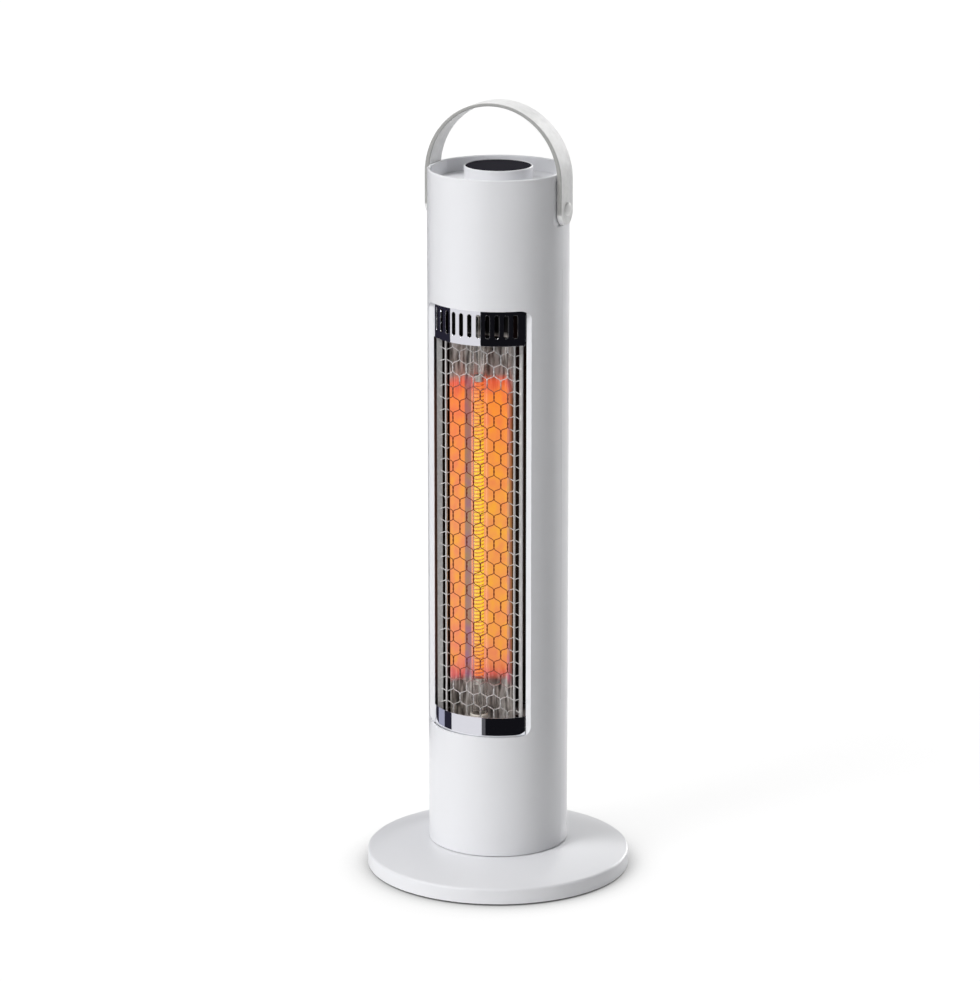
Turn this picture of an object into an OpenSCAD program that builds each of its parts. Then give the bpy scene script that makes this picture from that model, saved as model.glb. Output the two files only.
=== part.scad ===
// Tower fan heater with a carbon lamp behind a hexagonal guard, on a round turning base.
// Millimetres. +Z is up, the window looks towards -Y, and Z = 0 is the surface it stands on.

/* [Base] */
// Diameter of the base
base_d = 250; // [230:2:300]
// Height of the base's upright rim
base_rim_h = 14; // [12:0.5:20]
// Rise of the dome from the rim to the flat deck under the column
base_dome_h = 11.6; // [8:0.2:16]
// Wall of the moulded base cover
base_wall = 2.6; // [2:0.2:3.2]
// Thickness of the cover's flat deck
deck_t = 3; // [2.4:0.2:3.6]
// Thickness of the steel ballast plate
plate_t = 3; // [2:0.5:4]
// Height of the rubber feet below the plate
foot_h = 2; // [1.5:0.5:4]
// Diameter of a rubber foot
foot_d = 18; // [12:1:24]
// Number of rubber feet and of base screws
foot_count = 6; // [5:1:8]
// Diameter of the cord's way through the rim
cord_hole_d = 6.4; // [5:0.2:7]

/* [Column] */
// Outer diameter of the column
column_d = 132; // [126:1:140]
// Height of the column from its foot to its rim
column_h = 648.7; // [630:1:720]
// Wall of the column's housing
column_wall = 2.5; // [2:0.1:2.8]
// Dark gap between the base's deck and the column
column_gap = 0.7; // [0.5:0.1:1.5]

/* [Window] */
// Height of the window's sill above the column's foot
sill_h = 117.2; // [116:0.1:124]
// Height of the window
window_h = 409.5; // [380:0.5:430]
// Width of the window's opening, seen from the front
window_w = 95; // [93:0.5:98]
// Width across the two flat faces beside the window
window_face_w = 105.4; // [104:0.2:108]
// Corner radius of the opening
window_r = 4; // [2:0.5:8]
// Corner radius of the flat faces
window_face_r = 8; // [4:0.5:10]

/* [Bright bands] */
// Height of the slotted band at the window's head
head_band_h = 33.3; // [29:0.5:36]
// Height of the plain band at the sill
sill_band_h = 18.5; // [10:0.5:22]
// How far the bands lie behind the column's surface
band_inset = 3.6; // [3.2:0.1:4.4]
// Sheet thickness of the bands
band_t = 1; // [0.8:0.1:1.2]
// Number of air slots
slot_count = 11; // [7:2:11]
// Angle between air slots in degrees
slot_pitch = 8; // [7:0.25:8.5]
// Width of an air slot
slot_w = 4.4; // [2.4:0.2:4.6]
// Length of an air slot
slot_l = 22; // [16:0.5:22]
// Plain margin above the slots
slot_margin = 4; // [2:0.5:4]

/* [Guard] */
// Width of one hexagonal cell
cell_w = 14.1; // [13.4:0.1:14.4]
// Length of a cell's upright sides
cell_side = 7.94; // [7:0.02:8]
// Rise of a cell's slanted sides
cell_rise = 3.66; // [3:0.1:4.5]
// Number of cells across the guard
cell_cols = 6; // [6:1:6]
// Width and thickness of the netting's strands
strand_t = 1.1; // [0.9:0.1:1.6]
// Diameter of the four upright guard rods
rod_d = 2.4; // [2:0.1:3]

/* [Lamp] */
// Outer diameter of the quartz tube
tube_d = 14.5; // [12:0.5:14.5]
// Wall of the quartz tube
tube_wall = 1.2; // [1:0.1:1.6]
// Length of the glowing carbon spiral
glow_l = 288; // [260:4:310]
// How far the glow's middle lies below the middle of the guard
glow_drop = 6.5; // [0:0.5:12]
// Number of turns of the carbon spiral
glow_turns = 80; // [60:5:80]
// Outer diameter of the carbon spiral
spiral_d = 9.3; // [8:0.1:9.6]
// Diameter of the carbon strand
carbon_d = 1.5; // [1.2:0.1:1.8]
// Free space between the tube and the guard
lamp_gap = 2; // [1.5:0.5:4]
// How far the lamp lies beside the middle of the window, negative to its left
lamp_x = -6; // [-7:0.5:7]
// Diameter of the ceramic end caps
cap_d = 17.2; // [16:0.2:18]
// Length of the ceramic end caps
cap_l = 12; // [8:1:16]

/* [Reflector] */
// Width between the reflector's front edges
reflector_w = 64; // [58:1:66]
// Sheet thickness of the reflector and of the heat liner
sheet_t = 0.8; // [0.6:0.1:1]
// Depth of the reflector's troughs behind its front edges
reflector_depth = 30.5; // [28:0.5:32]
// Thickness of the two brackets that hold the lamp and the reflector
bracket_t = 1.5; // [1.2:0.1:2]

/* [Rear cover] */
// Lower edge of the rear cover above the column's foot
rear_sill = 143.7; // [140:1:150]
// Height of the rear cover
rear_h = 416; // [390:2:430]
// Width of a louvre slot
louvre_w = 22; // [14:1:24]
// Height of a louvre slot
louvre_h = 3; // [2:0.5:4]
// Distance between louvre slots
louvre_pitch = 7; // [6:0.5:9]

/* [Top] */
// Depth of the round well in the top
well_depth = 13; // [10:0.5:15]
// Diameter of the control pedestal
pedestal_d = 64; // [56:1:76]
// How far the pedestal rises above the column's rim
pedestal_rise = 2.5; // [0:0.5:6]
// Diameter of the black touch panel
panel_d = 61.6; // [52:0.2:62]
// Thickness of the touch panel
panel_t = 2; // [1.5:0.1:3]
// How far the panel lies below the pedestal's edge
panel_recess = 0.7; // [0.5:0.1:2]

/* [Handle] */
// Width of the handle's strap
handle_w = 25.5; // [20:0.5:30]
// Thickness of the strap at its legs
handle_t = 5; // [3:0.25:6]
// How much thinner the strap is at the arch's top
handle_thin = 1.8; // [0.2:0.1:2.4]
// Distance from the pivots to the strap's lower ends
leg_end = 15; // [13:0.5:17]
// Height of the handle's pivots below the rim
pivot_drop = 33; // [31:0.5:36]
// Height of the arch's centre above the pivots
arch_rise = 24.8; // [22:0.2:40]
// Depth of the flats cut in the column for the handle
flat_cut = 2.2; // [1.4:0.1:2.4]
// Thickness of the pivot washers
washer_t = 1; // [0.3:0.1:1.2]
// Diameter of the rivet heads
rivet_head_d = 12.5; // [10:0.5:16]
// Height of the rivet heads
rivet_head_h = 2.7; // [2:0.1:3.5]
// Diameter of the rivets in the strap
rivet_d = 6.4; // [5:0.2:8]

/* [Turning drive] */
// Teeth of the fixed gear
gear_teeth = 36; // [36:3:36]
// Teeth of the motor's pinion
pinion_teeth = 12; // [12:1:12]
// Width of the fixed gear
gear_h = 8; // [6:0.5:8.5]
// Outer diameter of the swivel post
post_d = 28; // [24:1:30]
// Bore of the swivel post, the way for the wires
post_bore = 22; // [16:1:22]
// Thickness of the slide washer
slide_t = 1; // [0.8:0.1:1.2]
// Height of the column foot's skirt
skirt_h = 9.7; // [9.6:0.1:11]
// Diameter of the turning motor
swivel_motor_d = 28; // [24:1:30]
// Height of the turning motor
swivel_motor_h = 19; // [16:1:22]

/* [Fan] */
// Diameter over the fan's blades
fan_d = 88; // [70:1:92]
// Height of the fan's blades
blade_h = 16; // [12:1:18]
// Twist of a blade in degrees
blade_twist = 34; // [20:1:44]
// Number of blades
blade_count = 7; // [5:1:9]
// Diameter of the fan's hub
fan_hub_d = 30; // [26:1:36]
// Diameter of the fan motor
fan_motor_d = 36; // [30:1:40]
// Height of the fan motor
fan_motor_h = 18; // [14:1:20]
// Diameter of the fan's shaft
fan_shaft_d = 4; // [3:0.5:5]

/* [Hidden] */
$fn = 96;

// Fits
slide_gap = 0.05;      // between faces that slide on each other
bore_gap = 0.05;       // radial, shaft in its bearing
screw_gap = 0.05;      // radial, screw in its own boss
seat_gap = 0.2;        // between neighbouring covers and their seats
edge_c = 0.8;          // small edge chamfers

// Colours
WHITE = [0.93, 0.94, 0.95];
STRAP = [0.86, 0.87, 0.87];
CHROME = [0.78, 0.79, 0.82];
STEEL = [0.62, 0.63, 0.66];
WIRE = [0.80, 0.81, 0.82];
BLACK = [0.06, 0.06, 0.07];
DARK = [0.16, 0.16, 0.18];
RUBBER = [0.10, 0.10, 0.11];
FOIL = [0.72, 0.70, 0.66];
QUARTZ = [0.95, 0.90, 0.90, 0.35];
CERAMIC = [0.90, 0.88, 0.83];
GLOW = [1.00, 0.66, 0.10];
POM = [0.94, 0.94, 0.90];
BOARD = [0.10, 0.36, 0.20];

// Radii and heights of the base
base_r = base_d / 2;
column_r = column_d / 2;
column_ir = column_r - column_wall;
deck_r = column_r + 2;
base_ir = base_r - base_wall;
base_z = foot_h;
rim_z = base_z + base_rim_h;
deck_z = rim_z + base_dome_h;
column_z = deck_z + column_gap;
top_z = column_z + column_h;
dome_steps = 12;
rim_edge = 1.6;
foot_ring_r = base_r - foot_d / 2 - 8;
base_screw_ring_r = base_r - 32;
base_screw_r = 1.5;
base_screw_l = 12;
base_boss_r = 4;
plate_top_z = base_z + plate_t;
foot_stem_r = 3;
foot_stem_out = 1.4;
rib_t = 2.4;
rib_r0 = 40;
cord_z = base_z + base_rim_h / 2;
grommet_r = cord_hole_d / 2 + 2;
grommet_flange_r = grommet_r + 1;

// Turning drive
tooth_module = column_d / 88;
gear_r = gear_teeth * tooth_module / 2;
pinion_r = pinion_teeth * tooth_module / 2;
gear_axis = gear_r + pinion_r;
tooth_addendum = 0.8 * tooth_module;
tooth_dedendum = 1.1 * tooth_module;
tooth_backlash = 0.16;
pressure_angle = 25;
post_flange_t = 2;
post_flange_r = post_d / 2 + 6;
post_screw_ring_r = post_d / 2 + 3.4;
post_screw_r = 1.1;
foot_floor_t = 3;
foot_floor_z = column_z + skirt_h;
foot_top_z = foot_floor_z + foot_floor_t;
drive_recess_r = gear_axis + pinion_r + tooth_addendum + 1.4;
bearing_r0 = drive_recess_r + 3;
bearing_r1 = column_ir - 3.5;
slide_r0 = bearing_r0 + 1;
slide_r1 = bearing_r1 - 1;
bushing_r = post_d / 2 + 4;
bushing_h = 15;
ring_t = 1.2;
ring_z = foot_top_z + bushing_h + slide_gap;
ring_groove = 0.9;
post_top_z = ring_z + ring_t + 2.5;
pinion_z = deck_z + 1;
pinion_h = gear_h - 1.5;
motor_offset = 8;
motor_shaft_r = 2.5;
motor_boss_r = 4.5;
motor_ear = 17.5;
motor_screw_r = 1.2;

// Column's inner ledges and bosses
ledge_t = 2.5;
ledge_w = 5;
foot_boss_r = 5;
foot_boss_ring_r = bearing_r0 + (bearing_r1 - bearing_r0) / 2;
foot_boss_h = 16;
foot_screw_r = 1.7;
foot_screw_head_r = 3.2;
foot_screw_z = deck_z + slide_t + 5;
foot_out_r = column_ir - 0.3;
ledge_screw_ring_r = column_ir - ledge_w / 2;
small_screw_r = 0.9;
bracket_screw_a = [-150, -75, 75, 150];
fan_screw_a = [-135, -45, 45, 135];
intake_rows = 8;
rear_rows = 10;
louvre_step_a = 25;
sill_z = column_z + sill_h;
head_z = sill_z + window_h;
face_f = sqrt(column_r * column_r - window_face_w * window_face_w / 4);
fan_ledge_z = sill_z - 36;
lower_ledge_z = sill_z - bracket_t - ledge_t;
upper_ledge_z = head_z + bracket_t;
tray_ledge_z = top_z - well_depth - 2 * ledge_t;
pivot_z = top_z - pivot_drop;
flat_x = column_r - flat_cut;
crown_z = pivot_z - leg_end - 1.5;
flat_w = 2 * sqrt(column_r * column_r - flat_x * flat_x) + 2;
flat_bottom = leg_end + 0.6;
flat_top = pivot_drop + 10;
flat_corner_r = 8;
pad_x = flat_x - 3;
pad_w = handle_w + 7;
pivot_boss_r = 8;
pivot_boss_l = 7;
rear_z = column_z + rear_sill;
rear_top_z = rear_z + rear_h;
cover_screw_a = [140, 220];
cover_screw_z = [rear_z + 4, rear_top_z - 4];
cover_screw_r = 1.4;
cover_head_r = 2.8;
cover_head_h = 1.6;
cover_boss_r = 4;
rib_depth = 6;
seam_y = -1.7;
lip_t = 2.6;
lip_r = column_ir - seat_gap;
crown_lip_t = 2;

// Bands and guard
band_r = column_r - band_inset;
band_ir = band_r - band_t;
band_half_w = window_w / 2 - 0.3;
head_band_z = head_z - head_band_h;
sill_band_top = sill_z + sill_band_h;
flange_z = head_band_z + 3.8;
flange_t = 1.2;
guard_half_w = cell_cols * cell_w / 2;
rod_r = rod_d / 2;
guard_f = min(face_f - 0.6, sqrt(pow(band_ir - 0.6, 2) - guard_half_w * guard_half_w) - rod_r);
net_bottom = sill_z + 3.1;
net_top = flange_z - 0.5;
row_h = cell_side + cell_rise;
net_rows = floor((net_top - net_bottom - cell_rise - strand_t) / row_h);
rod_x = [-3, -2.5, 2.5, 3] * cell_w;

// Lamp and reflector
tube_r = tube_d / 2;
tube_ir = tube_r - tube_wall;
lamp_f = guard_f - strand_t / 2 - lamp_gap - tube_r;
glow_mid_z = (sill_band_top + head_band_z) / 2 - glow_drop;
glow_z = glow_mid_z - glow_l / 2;
clamp_l = 6;
spiral_r = (spiral_d - carbon_d) / 2;
lead_r = 0.8;
cap_floor = 3;
lamp_z0 = sill_z + cap_floor + 0.2;
lamp_z1 = head_z - cap_floor - 0.2;
reflector_f = guard_f - rod_r - 1;
liner_r = column_ir - 6.7;
liner_a = 57.5;
bypass_f = 28;

// Fan
fan_r = fan_d / 2;
fan_tip_gap = 2;
fan_floor_t = 2.5;
fan_floor_z = fan_ledge_z + ledge_t;
fan_z = fan_floor_z + fan_floor_t + 2;
fan_hub_r = fan_hub_d / 2;
fan_shaft_r = fan_shaft_d / 2;
fan_ring_h = blade_h + 5;
fan_motor_screw_x = 11;

// Handle
strap_x = flat_x + washer_t + 0.2;
strap_out_x = strap_x + handle_t;
arch_z = pivot_z + arch_rise;
rivet_r = rivet_d / 2;
rivet_pin_r = 2;

// Top
tray_z = top_z - well_depth;
pedestal_r = pedestal_d / 2;
pedestal_z = top_z + pedestal_rise;
panel_r = panel_d / 2;
pedestal_ir = panel_r - 2;
panel_z = pedestal_z - panel_recess - panel_t;
display_r = panel_r - 3.8;
display_z = tray_z + 2;

// Boards
board_w = 68;
board_h = 50;
board_t = 1.6;
board_f = 30;

// Points on an arc of radius r about c, from angle a0 to a1 in n steps
function arc(c, r, a0, a1, n) = [for (i = [0 : n]) let (a = a0 + (a1 - a0) * i / n)
    c + r * [cos(a), sin(a)]];

// Outline of a w by h rectangle about the origin with corners of radius r
function rounded_outline(w, h, r, n = 6) = concat(
    arc([w / 2 - r, h / 2 - r], r, 0, 90, n), arc([-w / 2 + r, h / 2 - r], r, 90, 180, n),
    arc([-w / 2 + r, -h / 2 + r], r, 180, 270, n), arc([w / 2 - r, -h / 2 + r], r, 270, 360, n));

// Outline of an upright slot with round ends
function slot_outline(w, l, n = 10) = concat(
    arc([0, l / 2 - w / 2], w / 2, 0, 180, n), arc([0, w / 2 - l / 2], w / 2, 180, 360, n));

// Outline of a tongue seen along X: straight sides up to h, a half ellipse of height l below 0
function tongue(w, h, l) = concat([[w / 2, h], [-w / 2, h]],
    [for (p = arc([0, 0], 1, 180, 360, 24)) [p[0] * w / 2, p[1] * l]]);

// Height of the dome's surface at radius r: flat at the deck, steeper towards the rim
function dome(r) = deck_z - base_dome_h * pow(max(0, (r - deck_r) / (base_r - deck_r)), 1.7);

// Polar angle swept by an involute from its base circle to the roll angle t
function involute_angle(t) = t - atan(t * PI / 180);

// One gear tooth about the angle a: root, flank, flank, root
function tooth_points(a, n, m, backlash, steps) =
    let (rp = n * m / 2, rb = rp * cos(pressure_angle), ra = rp + tooth_addendum,
         rr = rp - tooth_dedendum, roll = sqrt(pow(ra / rb, 2) - 1) * 180 / PI,
         roll_p = tan(pressure_angle) * 180 / PI,
         start = rr > rb ? sqrt(pow(rr / rb, 2) - 1) * 180 / PI : 0,
         half = 90 / n - backlash / 2 / rp * 180 / PI + involute_angle(roll_p),
         flank = [for (i = [0 : steps]) let (t = start + (roll - start) * i / steps)
             [rb * sqrt(1 + pow(t * PI / 180, 2)), half - involute_angle(t)]],
         whole = concat([[rr, flank[0][1]]], flank))
    concat([for (p = whole) p[0] * [cos(a - p[1]), sin(a - p[1])]],
        [for (i = [len(whole) - 1 : -1 : 0]) whole[i][0] * [cos(a + whole[i][1]), sin(a + whole[i][1])]]);

function gear_outline(n, m, turn) = [for (i = [0 : n - 1])
    each tooth_points(turn + 360 * i / n, n, m, tooth_backlash, 5)];

// Unit normal to the left of the line from p to q
function left_of(p, q) = [p[1] - q[1], q[0] - p[0]] / norm(q - p);

// Corner i of a line of points moved to the left by t, its sides staying parallel
function mitre(points, i, t) = let (n = len(points) - 1,
    a = left_of(points[max(i - 1, 0)], points[max(i, 1)]),
    b = left_of(points[min(i, n - 1)], points[min(i + 1, n)])) points[i] + t * (a + b) / (1 + a * b);

// Half of the reflector's section, from its front edge to the ridge behind the lamp at x
function reflector_half(x) = [[reflector_w / 2, 0], [reflector_w / 2 - 8.5, -14],
    [reflector_w / 2 - 13.5, -17.5], [reflector_w / 2 - 16, -reflector_depth],
    [reflector_w / 2 - 22, -reflector_depth], [x + 1.5, -reflector_depth + 10]];

// Inner line of the base cover's dome, a given depth below its surface
function under_dome(drop) = [for (i = [0 : dome_steps])
    let (r = base_ir + (deck_r - base_ir) * i / dome_steps) [r, dome(r) - drop]];

// A list in the opposite order
function reversed(list) = [for (i = [len(list) - 1 : -1 : 0]) list[i]];

// Path of the carbon spiral, one unbroken strand whose ends run straight into the clamps
spiral_sides = 6;
spiral_rings = 8;
spiral_end = carbon_d;
spiral_pitch = (glow_l - 2 * spiral_end - carbon_d) / glow_turns;
function spiral_point(a) = [spiral_r * cos(a), spiral_r * sin(a),
    spiral_end + carbon_d / 2 + spiral_pitch * a / 360];
function spiral_ring(c, a, tilt) = [for (k = [0 : spiral_sides - 1])
    let (w = 360 * k / spiral_sides, out = [cos(a), sin(a), 0],
         side = [-sin(a) * sin(tilt), cos(a) * sin(tilt), -cos(tilt)])
    c + carbon_d / 2 * (cos(w) * out + sin(w) * side)];
spiral_tilt = atan(spiral_pitch / (2 * PI * spiral_r));
spiral_end_a = 360 * glow_turns;
spiral_path = concat(
    [spiral_ring([spiral_r * cos(-14), spiral_r * sin(-14), 0], -14, 90),
        spiral_ring([spiral_r * cos(-14), spiral_r * sin(-14), spiral_end - 0.2], -14, 90)],
    [for (i = [0 : spiral_rings * glow_turns]) let (a = 360 * i / spiral_rings)
        spiral_ring(spiral_point(a), a, i == 0 || i == spiral_rings * glow_turns ? 45 : spiral_tilt)],
    [spiral_ring([spiral_r * cos(14), spiral_r * sin(14), glow_l - spiral_end + 0.2], spiral_end_a + 14, 90),
        spiral_ring([spiral_r * cos(14), spiral_r * sin(14), glow_l], spiral_end_a + 14, 90)]);
spiral_turn = [for (i = [10 : 10 + spiral_rings]) each spiral_path[i]];
spiral_next = [for (i = [10 + spiral_rings : 10 + 2 * spiral_rings]) each spiral_path[i]];
echo(spiral_least_gap = min([for (i = [0 : len(spiral_turn) / 2], q = spiral_next)
    let (d = norm(spiral_turn[i] - q)) if (q[2] - spiral_turn[i][2] > spiral_pitch / 4) d]));

// Runs its children round the axis at the angle a from the front, towards +X
module at_angle(a) { rotate([0, 0, a]) children(); }

// A plain ring between two radii
module ring(r0, r1, h) {
    difference() {
        cylinder(r = r1, h = h);
        translate([0, 0, -1]) cylinder(r = r0, h = h + 2);
    }
}

// A bar from the axis towards the front: width w, from radius r0 to r1, height h
module spoke(w, r0, r1, h) { translate([-w / 2, -r1, 0]) cube([w, r1 - r0, h]); }

// Half a turn of a solid profile above the height z, about the front direction
module bow(z, profile) {
    translate([0, 0, z]) rotate([90, 0, 0]) rotate_extrude(angle = 180)
        polygon(concat([[0, profile[0][1]]], profile, [[0, profile[len(profile) - 1][1]]]));
}

// A prism along the front direction from the axis outwards, its outline seen from the front
module front_prism(depth) { rotate([90, 0, 0]) linear_extrude(depth) children(); }

// A screw pointing up: pan head below z = 0, shank above
module screw_up(head_r, head_h, r, l) {
    translate([0, 0, -head_h]) rotate_extrude() polygon([[0, 0], [head_r - head_h / 2, 0],
        [head_r, head_h / 2], [head_r, head_h], [r, head_h], [r, head_h + l], [0, head_h + l]]);
}

// Moulded cover of the base, open below, with ribs, screw bosses and the cord's way out
module base_cover() {
    color(WHITE) difference() {
        union() {
            rotate_extrude() polygon(concat(
                [[base_ir, base_z], [base_r, base_z], [base_r, rim_z - rim_edge],
                    [base_r - rim_edge * 0.3, rim_z - rim_edge * 0.25]],
                [for (i = [0 : dome_steps]) let (r = base_r - rim_edge
                    + (deck_r - base_r + rim_edge) * i / dome_steps) [r, dome(r)]],
                [[post_bore / 2, deck_z], [post_bore / 2, deck_z - deck_t]],
                reversed(under_dome(base_wall + 0.2))));
            intersection() {
                for (i = [0 : 2 * foot_count - 1]) at_angle(i * 180 / foot_count)
                    translate([0, 0, plate_top_z]) spoke(rib_t, rib_r0, base_ir + 0.6, deck_z);
                rotate_extrude() polygon(concat([[0, plate_top_z], [base_ir + 0.6, plate_top_z],
                    [base_ir + 0.6, dome(base_ir) - 1.4]], under_dome(1.4), [[0, deck_z - 1.4]]));
            }
            for (i = [0 : foot_count - 1]) at_angle((i + 0.5) * 360 / foot_count)
                translate([0, -base_screw_ring_r, plate_top_z]) cylinder(r = base_boss_r,
                    h = dome(base_screw_ring_r + base_boss_r) - plate_top_z - 1);
        }
        for (i = [0 : foot_count - 1]) at_angle((i + 0.5) * 360 / foot_count)
            translate([0, -base_screw_ring_r, plate_top_z - 1])
                cylinder(r = base_screw_r + screw_gap, h = base_screw_l - plate_t + 1.5);
        for (i = [0 : 2]) at_angle(i * 120) translate([0, -post_screw_ring_r, deck_z - deck_t - 1])
            cylinder(r = post_screw_r + screw_gap, h = deck_t + 2);
        for (i = [0 : foot_count - 1]) at_angle(i * 360 / foot_count)
            translate([0, -foot_ring_r, plate_top_z - 1])
                cylinder(r = foot_stem_r + 0.5, h = foot_stem_out + 1.4);
        translate([0, base_ir - 12, cord_z]) rotate([-90, 0, 0]) {
            cylinder(r = grommet_r + screw_gap, h = base_wall + 17);
            cylinder(r = grommet_flange_r + 0.15, h = 12 - 0.45);
        }
    }
}

// Round steel ballast plate that closes the base
module base_plate() {
    color(STEEL) difference() {
        translate([0, 0, base_z]) cylinder(r = base_ir - 0.8, h = plate_t);
        for (i = [0 : foot_count - 1]) {
            at_angle((i + 0.5) * 360 / foot_count) translate([0, -base_screw_ring_r, 0])
                cylinder(r = base_screw_r + 0.6, h = plate_top_z + 1);
            at_angle(i * 360 / foot_count) translate([0, -foot_ring_r, 0])
                cylinder(r = foot_stem_r + screw_gap, h = plate_top_z + 1);
        }
        translate([-grommet_r - 3, base_r - 11, 0]) cube([2 * grommet_r + 6, 20, plate_top_z + 1]);
    }
}

// Rubber feet with stems pushed through the plate
module rubber_feet() {
    color(RUBBER) for (i = [0 : foot_count - 1]) at_angle(i * 360 / foot_count)
        translate([0, -foot_ring_r, 0]) rotate_extrude() polygon([[0, 0], [foot_d / 2 - 0.6, 0],
            [foot_d / 2, 0.6], [foot_d / 2, foot_h], [foot_stem_r, foot_h],
            [foot_stem_r, foot_h + plate_t + foot_stem_out], [0, foot_h + plate_t + foot_stem_out]]);
}

// Screws through the plate into the cover's bosses
module base_screws() {
    color(STEEL) for (i = [0 : foot_count - 1]) at_angle((i + 0.5) * 360 / foot_count)
        translate([0, -base_screw_ring_r, base_z]) screw_up(3.2, 1.5, base_screw_r, base_screw_l);
}

// Rubber bush that lines the cord's way through the rim
module cord_grommet() {
    color(RUBBER) translate([0, 0, cord_z]) rotate([-90, 0, 0]) rotate_extrude() polygon([
        [cord_hole_d / 2, base_ir - 3.2], [grommet_flange_r, base_ir - 3.2],
        [grommet_flange_r, base_ir - 0.5], [grommet_r, base_ir - 0.5], [grommet_r, base_r - 0.6],
        [grommet_r - 0.5, base_r - 0.15], [cord_hole_d / 2, base_r - 0.15]]);
}

// Flanged hollow post that the column turns on; the wires pass through it
module swivel_post() {
    color(STEEL) difference() {
        translate([0, 0, deck_z]) rotate_extrude() polygon([
            [post_bore / 2, 0], [post_flange_r, 0], [post_flange_r, post_flange_t],
            [post_d / 2, post_flange_t], [post_d / 2, ring_z - deck_z],
            [post_d / 2 - ring_groove, ring_z - deck_z],
            [post_d / 2 - ring_groove, ring_z + ring_t + 0.1 - deck_z],
            [post_d / 2, ring_z + ring_t + 0.1 - deck_z], [post_d / 2, post_top_z - 0.6 - deck_z],
            [post_d / 2 - 0.6, post_top_z - deck_z], [post_bore / 2, post_top_z - deck_z]]);
        for (i = [0 : 2]) at_angle(i * 120) translate([0, -post_screw_ring_r, deck_z - 1])
            cylinder(r = post_screw_r + 0.2, h = post_flange_t + 2);
    }
}

// Screws that hold the post's flange to the deck
module post_screws() {
    color(STEEL) for (i = [0 : 2]) at_angle(i * 120)
        translate([0, -post_screw_ring_r, deck_z + post_flange_t]) mirror([0, 0, 1])
            screw_up(2.1, 1.2, post_screw_r, post_flange_t + deck_t);
}

// Fixed toothed ring round the post's flange
module swivel_gear() {
    color(POM) translate([0, 0, deck_z]) linear_extrude(gear_h) difference() {
        polygon(gear_outline(gear_teeth, tooth_module, 0));
        circle(r = post_flange_r + 0.1);
    }
}

// Low-friction ring between the deck and the column's foot
module slide_washer() {
    color(POM) translate([0, 0, deck_z]) ring(slide_r0, slide_r1, slide_t);
}

// Spring ring in the post's groove that keeps the column down
module retaining_ring() {
    color(STEEL) translate([0, 0, ring_z]) difference() {
        ring(post_d / 2 - ring_groove + 0.05, post_d / 2 + 3, ring_t);
        translate([-3, 0, -1]) cube([6, post_d, ring_t + 2]);
    }
}

// Turntable at the column's lower end: bushing, floor, slide ring, board guides
module column_foot() {
    skirt_z = deck_z + slide_t + slide_gap;
    bore_r = post_d / 2 + bore_gap;
    color(BLACK) difference() {
        union() {
            rotate_extrude() polygon([[bore_r, foot_floor_z], [drive_recess_r, foot_floor_z],
                [drive_recess_r, skirt_z], [foot_out_r, skirt_z], [foot_out_r, foot_top_z],
                [bearing_r1, foot_top_z], [bearing_r1, skirt_z + foot_floor_t],
                [bearing_r0, skirt_z + foot_floor_t], [bearing_r0, foot_top_z],
                [bushing_r, foot_top_z], [bushing_r, foot_top_z + bushing_h],
                [bore_r, foot_top_z + bushing_h]]);
            for (i = [0 : 3]) at_angle(45 + 90 * i)
                translate([0, -foot_boss_ring_r, skirt_z + 1])
                    cylinder(r = foot_boss_r, h = foot_top_z - skirt_z - 1);
            for (s = [-1, 1]) translate([s * (board_w / 2 + 1) - 3, -board_f - 3.5, foot_top_z - 0.5])
                cube([6, 7, 24]);
        }
        for (i = [0 : 3]) at_angle(45 + 90 * i) translate([0, -foot_boss_ring_r, 0]) {
            cylinder(r = foot_screw_r + 0.15, h = 100);
            cylinder(r = foot_screw_head_r + 0.3, h = foot_screw_z);
        }
        translate([0, gear_axis, foot_floor_z - 1]) cylinder(r = motor_boss_r + 0.3, h = foot_floor_t + 2);
        for (s = [-1, 1]) translate([s * motor_ear, gear_axis + motor_offset, foot_floor_z - 1])
            cylinder(r = motor_screw_r + screw_gap, h = foot_floor_t + 2);
        translate([-board_w / 2 - 0.1, -board_f - board_t / 2 - 0.1, foot_top_z])
            cube([board_w + 0.2, board_t + 0.2, 40]);
    }
}

// Screws from below through the foot into the housing's bosses
module foot_screws() {
    color(STEEL) for (i = [0 : 3]) at_angle(45 + 90 * i)
        translate([0, -foot_boss_ring_r, foot_screw_z]) screw_up(foot_screw_head_r, 1.8,
            foot_screw_r, foot_top_z + 11 - foot_screw_z);
}

// Inner ledge ring whose lower face is at z
module ledge(z) {
    translate([0, 0, z]) ring(column_ir - ledge_w, column_ir + 0.4, ledge_t);
}

// Rows of rounded air slots round the angle a, their lowest row centred at z
module louvres(a, z, rows) {
    for (k = [-1 : 1], i = [0 : rows - 1]) at_angle(a + k * louvre_step_a)
        translate([0, -column_ir + 4, z + i * louvre_pitch]) front_prism(column_wall + 8)
            polygon(rounded_outline(louvre_w, louvre_h, louvre_h / 2 - 0.05, 2));
}

// The part of a ring between two radii that lies behind y0, from z0 to z1
module rear_ring(r0, r1, y0, z0, z1) {
    intersection() {
        translate([0, 0, z0]) ring(r0, r1, z1 - z0);
        translate([-column_d, y0, z0]) cube([2 * column_d, column_d, z1 - z0]);
    }
}

// Inner lips that the rear cover lies against, with their screw bosses
module rear_lips() {
    difference() {
        rear_ring(lip_r - lip_t, column_ir + 0.4, seam_y - 6, rear_z - 4, rear_top_z + 4);
        translate([-column_d, seam_y + 7, rear_z + 9]) cube([2 * column_d, column_d, rear_h - 18]);
    }
    for (a = cover_screw_a, z = cover_screw_z) at_angle(a) translate([0, -lip_r + 1, z])
        rotate([-90, 0, 0]) cylinder(r = cover_boss_r, h = 5.2);
}

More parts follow.
